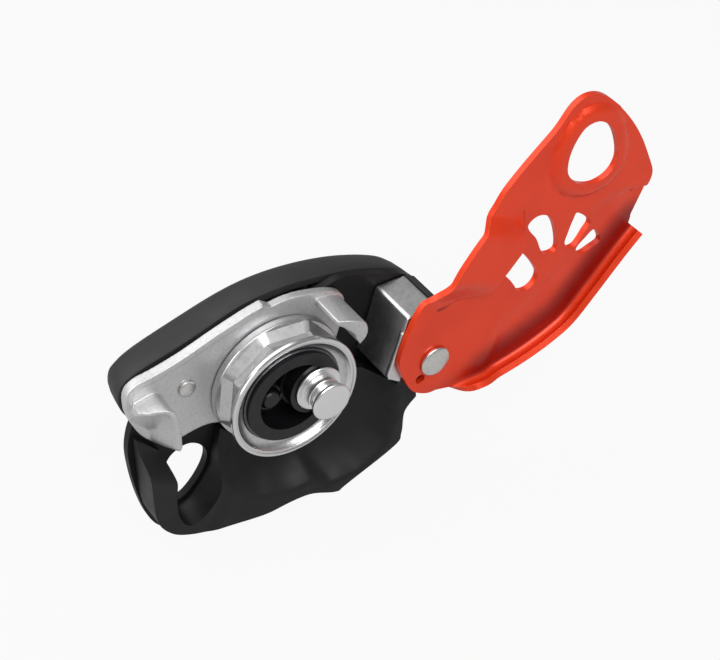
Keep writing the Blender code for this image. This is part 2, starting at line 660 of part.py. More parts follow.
def slit_sides(line):
    """The two sides of a slit that ends in a point."""
    left, right = [], []
    for i in range(len(line) - 1):
        a, b = line[max(i - 1, 0)], line[i + 1]
        size = math.hypot(b[0] - a[0], b[1] - a[1])
        nx, nz = -(b[1] - a[1]) / size * SLIT, (b[0] - a[0]) / size * SLIT
        left.append((line[i][0] + nx, line[i][1] + nz))
        right.append((line[i][0] - nx, line[i][1] - nz))
    return left, right


outer_left, outer_right = slit_sides(SLIT_OUTER)
inner_left, inner_right = slit_sides(SLIT_INNER)
slot_end = arc((0, 0), HINGE_TO_AXLE, shut_angle, shut_angle, 1)[0]
WINDOW_1 = (
    outer_left
    + [SLIT_OUTER[-1]]
    + outer_right[::-1]
    + arc((0, 0), HINGE_TO_AXLE + SLOT_HALF, FREE_EDGE - 3, shut_angle + 2, 5)
    + arc(slot_end, SLOT_HALF, shut_angle, shut_angle - 180, 8)
    + arc((0, 0), HINGE_TO_AXLE - SLOT_HALF, shut_angle + 2, FREE_EDGE - 3, 5)
    + inner_left
    + [SLIT_INNER[-1]]
    + inner_right[::-1]
)


def side_plate():
    rows = []
    lifted = {}
    for i, (bx, bz) in enumerate(LIP_BEND):
        width = lip_width(i)
        steps = max(1, round(width / 1.2))
        nx, nz = bend_normal(i)
        h = side_height(bx - nx * 0.01, bz - nz * 0.01)
        row = []
        for k in range(steps + 1):
            d = width * k / steps
            p = (bx + nx * d, bz + nz * d)
            turn = d / LIP_BEND_R
            out = LIP_BEND_R * math.sin(turn)
            lifted[p] = (bx + nx * out, bz + nz * out, h + LIP_BEND_R * (1 - math.cos(turn)))
            row.append(p)
        rows.append(row)
    lip_edge = [row[-1] for row in rows] + rows[-1][-2:0:-1]
    outline = lip_edge + [rows[-1][0]] + SIDE_OUTLINE
    holes = [WINDOW_1, WINDOW_2, WINDOW_3, WINDOW_4, SIDE_EYE, circle((0, 0), 3.1, 24), circle((-4.7, -5.4), 1.6, 12)]
    extra = [p for row in rows[:-1] for p in row[:-1]]
    extra += grid_points([LIP_BEND + SIDE_OUTLINE] + holes, 3.8)
    loops = [outline] + holes
    flat, triangles = triangulate(loops, extra)
    middle = [Vector(lifted.get(p) or (p[0], p[1], side_height(*p))) for p in flat]
    normals = [Vector((0, 0, 0)) for _ in flat]
    for t in triangles:
        a, b, c = (middle[v] for v in t)
        face = (b - a).cross(c - a)
        face = face if area([flat[v] for v in t]) > 0 else -face
        for v in t:
            normals[v] += face
    points = []
    for sign in (1, -1):
        for m, n in zip(middle, normals):
            p = m + n.normalized() * (sign * SIDE_T / 2)
            points.append((p.x + HINGE[0], p.y + HINGE[1], p.z))
    count = len(flat)
    faces = [tuple(t) for t in triangles] + [tuple(v + count for v in reversed(t)) for t in triangles]
    start = 0
    for loop in loops:
        n = len(loop)
        for i in range(n):
            a, b = start + i, start + (i + 1) % n
            faces.append((a, b, b + count, a + count))
        start += n
    solid("moving_side_plate", points, faces, ORANGE_PAINT, HINGE)


side_plate()


# Handle: a moulded shell behind the fixed plate, open towards it

HANDLE_OUTLINE = flowing([
    (-53.0, 4.6), (-53.6, 9.6), (-51.6, 14.4), (-45.0, 17.4), (-36.6, 19.2), (-27.0, 21.6), (-17.8, 24.4),
    (-9.0, 25.8), (1.0, 25.6), (9.4, 24.4), (18.0, 22.6), (26.6, 20.0), (35.4, 16.0), (41.4, 11.8), (45.6, 6.0),
    (47.0, -0.6), (44.4, -7.6), (37.0, -12.4), (26.0, -15.6), (12.0, -17.6), (-2.0, -17.4), (-16.0, -14.6),
    (-30.0, -9.8), (-42.0, -4.6), (-49.6, -0.6),
], 2)
handle_layers = [
    (inset(HANDLE_OUTLINE, 4.6), -15.0),
    (inset(HANDLE_OUTLINE, 2.2), HANDLE_FRONT),
    (grown(HANDLE_OUTLINE, -0.3), HANDLE_FRONT),
    (HANDLE_OUTLINE, HANDLE_FRONT - 0.4),
    (grown(HANDLE_OUTLINE, -0.5), -9.0),
    (grown(HANDLE_OUTLINE, -1.3), -12.6),
    (inset(HANDLE_OUTLINE, 2.4), -15.3),
    (inset(HANDLE_OUTLINE, 4.0), -17.0),
    (inset(HANDLE_OUTLINE, 5.6), HANDLE_BACK),
]
handle = stacked("handle_shell", handle_layers, [], BLACK_NYLON)
BOSS_R = 9.2
combine(handle, plate("handle_boss", circle(AXLE, BOSS_R), -15.8, -3.7, BLACK_NYLON), "UNION")
combine(handle, plate("handle_bore", circle(AXLE, BUSH_R + 0.1), -19.0, -3.0, BLACK_NYLON, edge=0.0), "DIFFERENCE")
RIBS = ((-30.0, 20.8), (-12.0, 25.4), (8.0, 24.5), (24.5, 20.7), (36.0, 15.7))
for k, (x, z) in enumerate(RIBS):
    outline = [(x - 0.7, z - 8.0), (x + 0.7, z - 8.0), (x + 0.7, z - 2.0), (x - 0.7, z - 2.0)]
    combine(handle, plate(f"handle_rib_{k + 1}", outline, -12.0, -5.2, BLACK_NYLON, edge=0.1), "UNION")
ring("handle_bush", 4.1, BUSH_R, -17.3, -3.6, AXLE, DARK_STEEL, 24)
core_outline = flowing([
    (-38.0, 5.0), (-37.0, 8.8), (-26.0, 12.4), (-12.0, 15.8), (4.0, 16.2), (18.0, 12.8), (31.0, 7.4), (35.0, 0.0),
    (30.0, -5.6), (15.0, -10.2), (0.0, -11.2), (-13.0, -8.2), (-27.0, -2.2),
], 3)
plate("handle_core_plate", core_outline, -14.6, -12.8, STEEL, [circle(AXLE, BOSS_R + 0.3)], 0.2)
coil("handle_spring", AXLE, 10.6, 0.6, -11.6, -5.0, 4, STEEL, per_turn=16)
drive_pin = arc(AXLE, DRIVE_R, DRIVE_START, DRIVE_START, 1)[0]
pin_profile = [(0, -12.6), (1.8, -12.6), (1.8, -0.6), (1.5, -0.3), (0, -0.3)]
turned("handle_drive_pin", pin_profile, drive_pin, STEEL, 16, AXLE)
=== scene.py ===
"""Looks of an assisted braking belay device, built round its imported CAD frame.

Sizes are in millimetres in a plan frame (x, z), with h as the height in front of the fixed plate, as in
the CAD.
"""

import math

import bmesh
import bpy
from mathutils import Matrix, Vector
from mathutils.geometry import delaunay_2d_cdt


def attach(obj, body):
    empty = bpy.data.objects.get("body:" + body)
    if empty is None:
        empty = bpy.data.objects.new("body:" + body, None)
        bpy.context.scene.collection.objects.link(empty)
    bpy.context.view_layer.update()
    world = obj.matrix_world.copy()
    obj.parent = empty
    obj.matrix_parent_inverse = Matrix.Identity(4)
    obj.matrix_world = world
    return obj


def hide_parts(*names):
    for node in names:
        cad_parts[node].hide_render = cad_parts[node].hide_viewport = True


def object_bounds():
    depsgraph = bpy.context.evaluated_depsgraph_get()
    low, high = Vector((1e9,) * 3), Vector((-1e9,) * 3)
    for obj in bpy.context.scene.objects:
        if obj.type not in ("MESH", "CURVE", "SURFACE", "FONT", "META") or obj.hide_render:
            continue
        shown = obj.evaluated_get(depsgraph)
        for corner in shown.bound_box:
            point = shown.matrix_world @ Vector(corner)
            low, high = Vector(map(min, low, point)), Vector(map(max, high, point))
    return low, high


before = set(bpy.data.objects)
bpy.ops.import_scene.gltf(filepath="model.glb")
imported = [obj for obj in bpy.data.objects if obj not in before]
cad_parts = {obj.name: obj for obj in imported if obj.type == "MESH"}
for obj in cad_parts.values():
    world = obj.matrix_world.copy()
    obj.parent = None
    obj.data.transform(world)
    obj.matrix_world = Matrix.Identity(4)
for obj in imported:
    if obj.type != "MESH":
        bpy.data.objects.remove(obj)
cad_low, cad_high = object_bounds()

MM = 0.001

# Driving dimensions
AXLE = (0.0, 0.0)                 # cam axle and handle pivot
WHEEL = (-8.1, 0.75)              # wheel centre, off the axle so that the pull turns the cam
HINGE = (36.05, -3.0)             # rivet that the side plate swings on
PLATE_T = 2.5                     # fixed plate thickness
CAM_BACK, CAM_FRONT = 0.3, 2.8    # cam plate, in front of the fixed plate
SIDE_IN, SIDE_OUT = 17.8, 19.8    # side plate faces, which set the rope gap
SIDE_MID = (SIDE_IN + SIDE_OUT) / 2
SIDE_T = SIDE_OUT - SIDE_IN
GROOVE_R = 3.8                    # groove in the axle that the side plate slides into
HEAD_R = 6.1                      # axle head that keeps the side plate on
HEAD_FRONT = 21.4                 # height of the axle head's front face, where the origin is
CLOSE_ANGLE = math.radians(150)   # swing of the side plate from open to shut
HINGE_TO_AXLE = math.hypot(HINGE[0], HINGE[1])
STRIP_RISE = 3.9                  # lift of the side plate's leading strip over the axle head
HANDLE_FRONT, HANDLE_BACK = -3.5, -17.5


# Node materials

class Look:
    """A Principled material built up from small node steps in object space."""

    def __init__(self, name, colour, metallic, roughness):
        self.mat = bpy.data.materials.new(name)
        self.mat.use_nodes = True
        self.tree = self.mat.node_tree
        self.shader = self.tree.nodes["Principled BSDF"]
        self.shader.inputs["Base Color"].default_value = (*colour, 1.0)
        self.shader.inputs["Metallic"].default_value = metallic
        self.shader.inputs["Roughness"].default_value = roughness
        self.colour = colour
        self.roughness = roughness
        self.place = self.node("ShaderNodeTexCoord").outputs["Object"]

    def node(self, kind, **values):
        made = self.tree.nodes.new(kind)
        for key, value in values.items():
            if hasattr(made, key):
                setattr(made, key, value)
            else:
                made.inputs[key].default_value = value
        return made

    def link(self, a, b):
        self.tree.links.new(a, b)

    def noise(self, scale, detail):
        made = self.node("ShaderNodeTexNoise", Scale=scale, Detail=detail)
        self.link(self.place, made.inputs["Vector"])
        return made.outputs["Fac"]

    def math(self, operation, a, b=0.5, c=0.5):
        made = self.node("ShaderNodeMath", operation=operation)
        for slot, value in zip(made.inputs, (a, b, c)):
            if isinstance(value, (int, float)):
                slot.default_value = value
            else:
                self.link(value, slot)
        return made.outputs[0]

    def remap(self, value, low, high, to_low, to_high):
        made = self.node("ShaderNodeMapRange", interpolation_type="SMOOTHSTEP")
        self.link(value, made.inputs[0])
        for slot, number in zip(list(made.inputs)[1:5], (low, high, to_low, to_high)):
            slot.default_value = number
        return made.outputs[0]

    def rough(self, value, spread):
        """Roughness that wanders by spread as value goes from 0.3 to 0.7."""
        wander = self.remap(value, 0.3, 0.7, self.roughness - spread, self.roughness + spread)
        self.link(wander, self.shader.inputs["Roughness"])
        return self

    def tint(self, fac, colour, low=0.35, high=0.7):
        """Mixes the current colour towards another where fac is high."""
        mix = self.node("ShaderNodeMix", data_type="RGBA")
        socket = self.shader.inputs["Base Color"]
        if socket.links:
            self.link(socket.links[0].from_socket, mix.inputs["A"])
        else:
            mix.inputs["A"].default_value = socket.default_value
        mix.inputs["B"].default_value = (*colour, 1.0)
        self.link(self.remap(fac, low, high, 0.0, 1.0), mix.inputs["Factor"])
        self.link(mix.outputs["Result"], socket)
        return self

    def bump(self, height, strength, depth):
        made = self.node("ShaderNodeBump", Strength=strength, Distance=depth)
        self.link(height, made.inputs["Height"])
        socket = self.shader.inputs["Normal"]
        if socket.links:
            self.link(socket.links[0].from_socket, made.inputs["Normal"])
        self.link(made.outputs["Normal"], socket)
        return self

    def around(self, centre):
        """Distance in metres from an axis along Y."""
        mapping = self.node("ShaderNodeMapping")
        mapping.inputs["Location"].default_value = (-centre[0] * MM, 0, -centre[1] * MM)
        mapping.inputs["Scale"].default_value = (1, 0, 1)
        self.link(self.place, mapping.inputs["Vector"])
        length = self.node("ShaderNodeVectorMath", operation="LENGTH")
        self.link(mapping.outputs["Vector"], length.inputs[0])
        return length.outputs["Value"]

    def attribute(self, name):
        return self.node("ShaderNodeAttribute", attribute_name=name).outputs["Fac"]

    def edges(self, colour, radius, low=0.08, high=0.45):
        """Another colour where a rounded normal leaves the true one."""
        soft_normal = self.node("ShaderNodeBevel", samples=6, Radius=radius)
        geometry = self.node("ShaderNodeNewGeometry")
        dot = self.node("ShaderNodeVectorMath", operation="DOT_PRODUCT")
        self.link(soft_normal.outputs["Normal"], dot.inputs[0])
        self.link(geometry.outputs["Normal"], dot.inputs[1])
        # a darker colour along the rounded edges, broken up by noise
        wear = self.math("MULTIPLY", self.math("SUBTRACT", 1.0, dot.outputs["Value"]), self.noise(900, 4))
        return self.tint(wear, colour, low, high)


def satin_metal(name, colour, roughness, grain=2400.0, depth=0.14):
    look = Look(name, colour, 1.0, roughness)
    look.rough(look.noise(0.4 * grain, 2), 0.03)
    look.tint(look.noise(0.5 * grain, 3), tuple(c * 0.88 for c in colour), 0.45, 0.75)
    look.bump(look.noise(grain, 2), depth, 0.00006)
    return look


def turned_metal(name, colour, roughness, centre, pitch=0.00032, strength=0.12):
    look = Look(name, colour, 1.0, roughness)
    radius = look.around(centre)
    grooves = look.math("SINE", look.math("MULTIPLY", radius, 2 * math.pi / pitch))
    look.bump(grooves, strength, 0.00003)
    look.rough(look.noise(200, 2), 0.025)
    look.bump(look.noise(2600, 2), 0.04, 0.00005)
    look.shader.inputs["Anisotropic"].default_value = 0.3
    return look


def moulded(name, colour, roughness, shine=0.4):
    look = Look(name, colour, 0.0, roughness)
    look.rough(look.noise(120, 4), 0.06)
    look.tint(look.noise(60, 5), tuple(c * 1.35 for c in colour), 0.45, 0.8)
    look.bump(look.noise(1900, 3), 0.28, 0.00009)
    look.shader.inputs["Specular IOR Level"].default_value = shine
    return look


BLACK_NYLON = moulded("black_nylon_look", (0.02, 0.02, 0.021), 0.58).mat
# the guide's nylon is darker than the other black nylon: partly its own darker tone, partly painted shade
# for the shadowed dish round the wheel
GUIDE_NYLON = moulded("guide_nylon_look", (0.009, 0.009, 0.01), 0.52, 0.3).mat
plate_look = Look("black_plate_look", (0.004, 0.004, 0.005), 0.0, 0.5)
plate_look.shader.inputs["Specular IOR Level"].default_value = 0.25
plate_look.rough(plate_look.noise(130, 4), 0.06).bump(plate_look.noise(1700, 2), 0.15, 0.00006)
plate_look.tint(plate_look.noise(70, 4), (0.012, 0.012, 0.013), 0.5, 0.8)
BLACK_PLATE = plate_look.mat
hub_look = Look("black_hub_look", (0.006, 0.006, 0.007), 0.0, 0.34)
hub_look.shader.inputs["Specular IOR Level"].default_value = 0.35
hub_look.rough(hub_look.noise(200, 3), 0.05).bump(hub_look.noise(1500, 2), 0.08, 0.00005)
hub_look.tint(hub_look.noise(80, 4), (0.012, 0.012, 0.013), 0.5, 0.8)
BLACK_HUB = hub_look.mat
SATIN_CAM = satin_metal("satin_cam_look", (0.66, 0.66, 0.665), 0.53).mat
WEAR_STEEL = satin_metal("wear_steel_look", (0.7, 0.7, 0.705), 0.34, 1800.0).mat
CORE_STEEL = satin_metal("core_steel_look", (0.5, 0.5, 0.5), 0.42).mat
PIN_STEEL = turned_metal("pin_steel_look", (0.84, 0.84, 0.84), 0.31, AXLE, 0.0005, 0.1).mat
RIVET_STEEL = satin_metal("rivet_steel_look", (0.7, 0.69, 0.67), 0.34, 1500.0).mat
DARK_STEEL = satin_metal("dark_steel_look", (0.16, 0.16, 0.17), 0.38).mat
WHEEL_FACE = turned_metal("wheel_face_look", (0.76, 0.76, 0.76), 0.24, WHEEL, 0.00042, 0.08).mat
WHEEL_GROOVE = satin_metal("wheel_groove_look", (0.64, 0.64, 0.645), 0.34, 1900.0, 0.2).mat
orange = Look("orange_paint_look", (0.88, 0.052, 0.008), 0.35, 0.36)
orange.rough(orange.noise(150, 4), 0.05)
orange.tint(orange.noise(50, 4), (0.8, 0.042, 0.006), 0.4, 0.75)
# painted shade: dark red along the foot of the side plate's lip, read from the mesh's recess attribute
orange.tint(orange.attribute("recess"), (0.3, 0.008, 0.003), 0.0, 1.0)
orange.bump(orange.noise(1300, 2), 0.12, 0.00007)
# a darker line along the side plate's rounded edges
orange.edges((0.36, 0.01, 0.003), 0.0005)
orange.shader.inputs["Coat Weight"].default_value = 0.1
orange.shader.inputs["Coat Roughness"].default_value = 0.22
ORANGE_PAINT = orange.mat


# Plan outlines

def arc(centre, radius, start, end, steps):
    """Points on an arc, angles in degrees."""
    points = []
    for i in range(steps + 1):
        a = math.radians(start + (end - start) * i / steps)
        points.append((centre[0] + radius * math.cos(a), centre[1] + radius * math.sin(a)))
    return points


def circle(centre, radius, steps=96):
    return arc(centre, radius, 0, 360, steps)[:-1]


def flowing(points, per=4, closed=True):
    """A smooth curve through the points."""
    n = len(points)
    out = []
    for i in range(n if closed else n - 1):
        if closed:
            p = [points[(i + k - 1) % n] for k in range(4)]
        else:
            p = [points[min(max(i + k - 1, 0), n - 1)] for k in range(4)]
        for j in range(per):
            t = j / per
            w = (
                (-t + 2 * t * t - t ** 3) / 2,
                (2 - 5 * t * t + 3 * t ** 3) / 2,
                (t + 4 * t * t - 3 * t ** 3) / 2,
                (-t * t + t ** 3) / 2,
            )
            out.append(tuple(sum(w[k] * p[k][axis] for k in range(4)) for axis in (0, 1)))
    if not closed:
        out.append(tuple(points[-1]))
    return out


def area(loop):
    return sum(a[0] * b[1] - b[0] * a[1] for a, b in zip(loop, loop[1:] + loop[:1])) / 2


def normals_out(loop):
    """Unit normals pointing out of a closed loop."""
    sign = 1 if area(loop) > 0 else -1
    out = []
    n = len(loop)
    for i in range(n):
        dx = loop[(i + 1) % n][0] - loop[i - 1][0]
        dz = loop[(i + 1) % n][1] - loop[i - 1][1]
        size = math.hypot(dx, dz) or 1.0
        out.append((sign * dz / size, -sign * dx / size))
    return out


def grown(loop, amount):
    """The loop moved outwards, or inwards for a negative amount."""
    return [(p[0] + n[0] * amount, p[1] + n[1] * amount) for p, n in zip(loop, normals_out(loop))]


def inset(loop, amount):
    """The loop moved inwards in small smoothed steps, so that tight corners don't fold over."""
    steps = max(1, math.ceil(amount / 0.4))
    for _ in range(steps):
        loop = grown(loop, -amount / steps)
        loop = [
            tuple(0.2 * before[axis] + 0.6 * here[axis] + 0.2 * after[axis] for axis in (0, 1))
            for before, here, after in zip(loop[-1:] + loop[:-1], loop, loop[1:] + loop[:1])
        ]
    return loop


def inside(p, loop):
    hit = False
    for a, b in zip(loop, loop[1:] + loop[:1]):
        if (a[1] > p[1]) != (b[1] > p[1]):
            if p[0] < (b[0] - a[0]) * (p[1] - a[1]) / (b[1] - a[1]) + a[0]:
                hit = not hit
    return hit


def distance(p, line, closed=True):
    best = 1e9
    pairs = zip(line, line[1:] + line[:1]) if closed else zip(line, line[1:])
    for a, b in pairs:
        dx, dz = b[0] - a[0], b[1] - a[1]
        t = ((p[0] - a[0]) * dx + (p[1] - a[1]) * dz) / (dx * dx + dz * dz + 1e-12)
        t = min(max(t, 0.0), 1.0)
        best = min(best, math.hypot(p[0] - a[0] - t * dx, p[1] - a[1] - t * dz))
    return best


def soft(value, start, end):
    """0 before start, 1 after end, smooth between."""
    t = min(max((value - start) / (end - start), 0.0), 1.0)
    return t * t * (3 - 2 * t)


def lookup(table, value):
    """Smooth reading of a short table of (value, result) pairs."""
    for (a, ra), (b, rb) in zip(table, table[1:]):
        if value <= b:
            return ra + (rb - ra) * soft(value, a, b)
    return table[-1][1]


ROW_SHARE = 0.866     # row spacing of a triangular grid, as a share of its point spacing
CLEAR_SHARE = 0.45    # how far the grid stays off every loop


def grid_points(loops, size):
    """An even spread of points in the first loop, clear of the others."""
    xs = [p[0] for p in loops[0]]
    zs = [p[1] for p in loops[0]]
    row_step = size * ROW_SHARE
    rows = int((max(zs) - min(zs)) / row_step) + 1
    columns = int((max(xs) - min(xs)) / size) + 1
    out = []
    for r in range(rows + 1):
        for c in range(columns + 1):
            p = (min(xs) + (c + 0.5 * (r % 2)) * size, min(zs) + r * size * ROW_SHARE)
            if inside(p, loops[0]) and not any(inside(p, hole) for hole in loops[1:]):
                if all(distance(p, loop) > CLEAR_SHARE * size for loop in loops):
                    out.append(p)
    return out


def triangulate(loops, extra=()):
    """Points and triangles that fill the first loop, less the others."""
    points = [p for loop in loops for p in loop] + list(extra)
    edges = []
    base = 0
    for loop in loops:
        n = len(loop)
        edges += [(base + i, base + (i + 1) % n) for i in range(n)]
        base += n
    _, _, faces, origin, _, _ = delaunay_2d_cdt([Vector(p) for p in points], edges, [], 0, 1e-6)
    triangles = []
    for face in faces:
        t = [origin[v][0] for v in face]
        middle = tuple(sum(points[v][axis] for v in t) / 3 for axis in (0, 1))
        if inside(middle, loops[0]) and not any(inside(middle, hole) for hole in loops[1:]):
            triangles.append(t)
    return points, triangles


# Solids

def place(x, z, h):
    return (x * MM, (HEAD_FRONT - h) * MM, z * MM)


def solid(name, points, faces, mat, sharp=35):
    """One closed mesh from (x, z, h) points."""
    mesh = bpy.data.meshes.new(name)
    mesh.from_pydata([place(x, z, h) for x, z, h in points], [], faces)
    work = bmesh.new()
    work.from_mesh(mesh)
    bmesh.ops.recalc_face_normals(work, faces=work.faces)
    work.to_mesh(mesh)
    work.free()
    mesh.materials.append(mat)
    mesh.shade_smooth()
    if sharp:
        mesh.set_sharp_from_angle(angle=math.radians(sharp))
    item = bpy.data.objects.new(name, mesh)
    bpy.context.scene.collection.objects.link(item)
    return item


def stands_for(item, body, node):
    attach(item, body)
    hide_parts(node)
    return item


def rounded(item, width, segments=2, angle=40):
    """Rounds every edge sharper than the angle."""
    step = item.modifiers.new("rounded", "BEVEL")
    step.width = width * MM
    step.segments = segments
    step.limit_method = "ANGLE"
    step.angle_limit = math.radians(angle)
    step.harden_normals = True
    return item


def stacked(name, layers, holes, mat, sharp=35):
    """A solid from stacked loops. The layers are (loop, h), all with the same count of points."""
    points = []
    faces = []
    n = len(layers[0][0])
    for loop, h in layers:
        points += [(x, z, h) for x, z in loop]
    for k in range(len(layers) - 1):
        for i in range(n):
            j = (i + 1) % n
            faces.append((k * n + i, k * n + j, (k + 1) * n + j, (k + 1) * n + i))
    hole_starts = []
    for hole in holes:
        start = len(points)
        m = len(hole)
        points += [(x, z, layers[0][1]) for x, z in hole]
        points += [(x, z, layers[-1][1]) for x, z in hole]
        for i in range(m):
            j = (i + 1) % m
            faces.append((start + i, start + j, start + m + j, start + m + i))
        hole_starts.append((start, m))
    for end, k in ((0, 0), (1, len(layers) - 1)):
        index = [k * n + i for i in range(n)]
        for start, m in hole_starts:
            index += [start + end * m + i for i in range(m)]
        _, triangles = triangulate([layers[k][0]] + holes)
        faces += [tuple(index[v] for v in t) for t in triangles]
    return solid(name, points, faces, mat, sharp)


def prism(name, outline, back, front, mat, holes=()):
    return stacked(name, [(outline, back), (outline, front)], list(holes), mat)


def relief(name, outline, holes, back, top, mat, grid, sharp=35):
    """A block with a flat back and a front whose height is top(x, z)."""
    loops = [outline] + list(holes)
    front_points, front_faces = triangulate(loops, grid_points(loops, grid))
    rim = sum(len(loop) for loop in loops)
    points = [(x, z, top(x, z)) for x, z in front_points]
    faces = [tuple(t) for t in front_faces]
    base = len(points)
    points += [(x, z, back) for x, z in front_points[:rim]]
    _, back_faces = triangulate(loops)
    faces += [tuple(base + v for v in t) for t in back_faces]
    start = 0
    for loop in loops:
        n = len(loop)
        for i in range(n):
            a, b = start + i, start + (i + 1) % n
            faces.append((a, b, base + b, base + a))
        start += n
    return solid(name, points, faces, mat, sharp)


def turned(name, profile, centre, mat, steps=120, radius=None, sharp=30):
    """A closed (r, h) profile turned about the centre. A point with r 0 lies on the axis."""
    points = []
    faces = []
    rings = []
    for k, (r, h) in enumerate(profile):
        if r == 0:
            rings.append([len(points)] * steps)
            points.append((centre[0], centre[1], h))
            continue
        rings.append(list(range(len(points), len(points) + steps)))
        for i in range(steps):
            a = 2 * math.pi * i / steps
            size = radius(k, r, a) if radius else r
            points.append((centre[0] + size * math.cos(a), centre[1] + size * math.sin(a), h))
    for k in range(len(profile)):
        one, two = rings[k], rings[(k + 1) % len(profile)]
        if profile[k][0] == 0 and profile[(k + 1) % len(profile)][0] == 0:
            continue
        for i in range(steps):
            j = (i + 1) % steps
            face = []
            for v in (one[i], one[j], two[j], two[i]):
                if v not in face:
                    face.append(v)
            faces.append(tuple(face))
    return solid(name, points, faces, mat, sharp)


def merged(item, tools, voxel, smoothing):
    """Joins or cuts the tools, then melts the result into one smooth forged or moulded skin."""
    for tool, operation in tools:
        step = item.modifiers.new(tool.name, "BOOLEAN")
        step.operation = operation
        step.solver = "MANIFOLD"
        step.object = tool
    bake(item)
    for tool, _ in tools:
        bpy.data.objects.remove(tool, do_unlink=True)
    if voxel:
        step = item.modifiers.new("melt", "REMESH")
        step.mode = "VOXEL"
        step.voxel_size = voxel * MM
        step.use_smooth_shade = True
        bake(item)
        step = item.modifiers.new("ease", "SMOOTH")
        step.factor = 0.5
        step.iterations = smoothing
        bake(item)
        item.data.shade_smooth()
    return item


def bake(item):
    """Applies every modifier."""
    mesh = bpy.data.meshes.new_from_object(item.evaluated_get(bpy.context.evaluated_depsgraph_get()))
    item.modifiers.clear()
    item.data = mesh
    return item


# Fixed side plate

AXLE_HOLE_R = 4.3
EYE_HOLE = flowing([
    (-43.4, -19.6), (-41.6, -16.4), (-38.0, -14.6), (-34.6, -14.9), (-31.6, -17.4), (-30.0, -21.5),
    (-31.2, -26.2), (-34.6, -31.2), (-38.6, -34.6), (-41.8, -34.6), (-43.7, -30.6), (-44.2, -25.0),
], 8)
FIXED_OUTLINE = flowing([
    (10.6, 22.2), (17.1, 23.1), (24.0, 21.1), (31.0, 18.0), (38.5, 14.6), (44.4, 8.4), (47.0, 0.0),
    (45.6, -9.0), (39.6, -18.0), (33.8, -25.4), (30.2, -35.0), (24.2, -41.8), (9.0, -47.6), (-4.5, -45.6),
    (-19.0, -46.0), (-34.0, -45.6), (-44.5, -44.4), (-49.6, -38.6), (-52.6, -27.7), (-54.2, -14.5),
    (-54.0, -5.0), (-50.8, 3.8), (-43.0, 12.2), (-28.0, 17.6), (-12.0, 20.8), (2.0, 21.6),
], 8)
axle_hole = circle(AXLE, AXLE_HOLE_R)
fixed = prism("fixed_plate_skin", FIXED_OUTLINE, -PLATE_T, 0.0, BLACK_PLATE, [EYE_HOLE, axle_hole])
stands_for(rounded(fixed, 0.45), "frame", "fixed_side_plate")


# Rope guide

CREST_R = [
    (200, 30.0), (212, 30.6), (222, 32.2), (232, 35.4), (241, 37.4), (256, 38.6), (272, 39.8),
    (277, 39.4), (288, 45.6), (300, 48.6), (311, 48.8), (320, 45.6), (327, 42.0), (340, 38.0),
]
CREST_H = [
    (200, 4.5), (212, 6.5), (226, 8.5), (241, 10.6), (262, 12.0), (276, 12.6), (290, 13.8), (316, 14.0),
    (340, 13.0),
]
DISH_R = 21.7
DISH_FLOOR = 2.4
HOOK_TOP = 10.0
HOOK_FALL = 7.6      # how far the hook's flank drops towards its tip


def guide_top(x, z):
    """Height of the guide: a dish round the wheel, a raised rim, and the hook past the eye."""
    dx = x - WHEEL[0]
    dz = z - WHEEL[1]
    r = math.hypot(dx, dz)
    a = math.degrees(math.atan2(dz, dx)) % 360
    crest = lookup(CREST_R, a)
    height = lookup(CREST_H, a)
    share = min(max((r - DISH_R) / (crest - DISH_R), 0.0), 1.0)
    dish = DISH_FLOOR + (height - DISH_FLOOR) * share ** 2.3
    hook = HOOK_TOP - HOOK_FALL * soft(z + 0.75 * (x + 52.4), -11.6, -4.5)
    land = max(height, HOOK_TOP)
    past_hole = soft(-x, 38.0, 44.0)
    under_hole = soft(r, crest, crest + 4.0)
    plain = dish + (land - dish) * under_hole * soft(a, 262, 232)
    return plain + (hook - plain) * past_hole


GUIDE_OUTLINE = (
    flowing([
        (-52.4, -2.2), (-52.5, -14.0), (-52.1, -28.0), (-48.8, -35.2), (-43.2, -39.6), (-33.6, -42.8),
        (-18.2, -44.4), (-4.6, -43.6), (5.6, -47.0), (9.4, -45.6), (26.6, -38.6), (29.2, -34.2),
        (30.4, -26.2), (34.8, -22.4),
    ], 8, closed=False)
    + flowing([(34.6, -16.6), (27.4, -13.4), (20.4, -9.6)], 8, closed=False)
    + arc(WHEEL, DISH_R, 332, 214, 70)
    + flowing([
        (-27.4, -15.4), (-28.7, -20.6), (-29.9, -26.4), (-33.7, -32.2), (-38.2, -36.0), (-42.4, -36.2),
        (-45.0, -31.4), (-45.4, -25.0), (-44.6, -17.6), (-44.9, -13.4), (-45.6, -9.9),
    ], 6, closed=False)
    + [(-50.4, -4.2)]
)

guide = relief("rope_guide_skin", GUIDE_OUTLINE, [], 0.2, guide_top, GUIDE_NYLON, 1.3, 60)
stands_for(rounded(guide, 0.6, 3, 50), "frame", "rope_guide")


# Cam plate with its tab and nose

CAM_OUTLINE = (
    flowing([
        (-49.6, -2.5), (-51.6, 1.0), (-53.6, 6.4), (-54.4, 11.5), (-53.7, 16.6), (-50.6, 19.0),
        (-44.7, 19.8), (-36.0, 21.6), (-26.0, 24.6), (-16.0, 27.2), (-10.4, 28.2),
    ], 8, closed=False)
    + flowing([
        (-8.0, 26.2), (-1.2, 26.2), (4.9, 24.9), (11.0, 22.8), (15.0, 20.2), (16.2, 16.4), (15.2, 10.2),
        (12.8, 3.0), (9.0, -6.4), (0.0, -13.6), (-9.0, -16.4), (-18.4, -14.4), (-26.0, -9.0),
        (-31.6, -7.3), (-38.0, -7.9),
    ], 8, closed=False)
    + [(-42.6, -8.9), (-44.0, -9.0)]
)
BUSH_R = 5.4
BORE_R = BUSH_R + 0.1
CAM_RIVET = (-35.8, 9.7)
TOOL_BACK = 1.2      # where the tab, rim and nose begin inside the plate
RIM_RISE = 0.7
cam = prism("cam_plate_skin", CAM_OUTLINE, CAM_BACK, CAM_FRONT, SATIN_CAM)

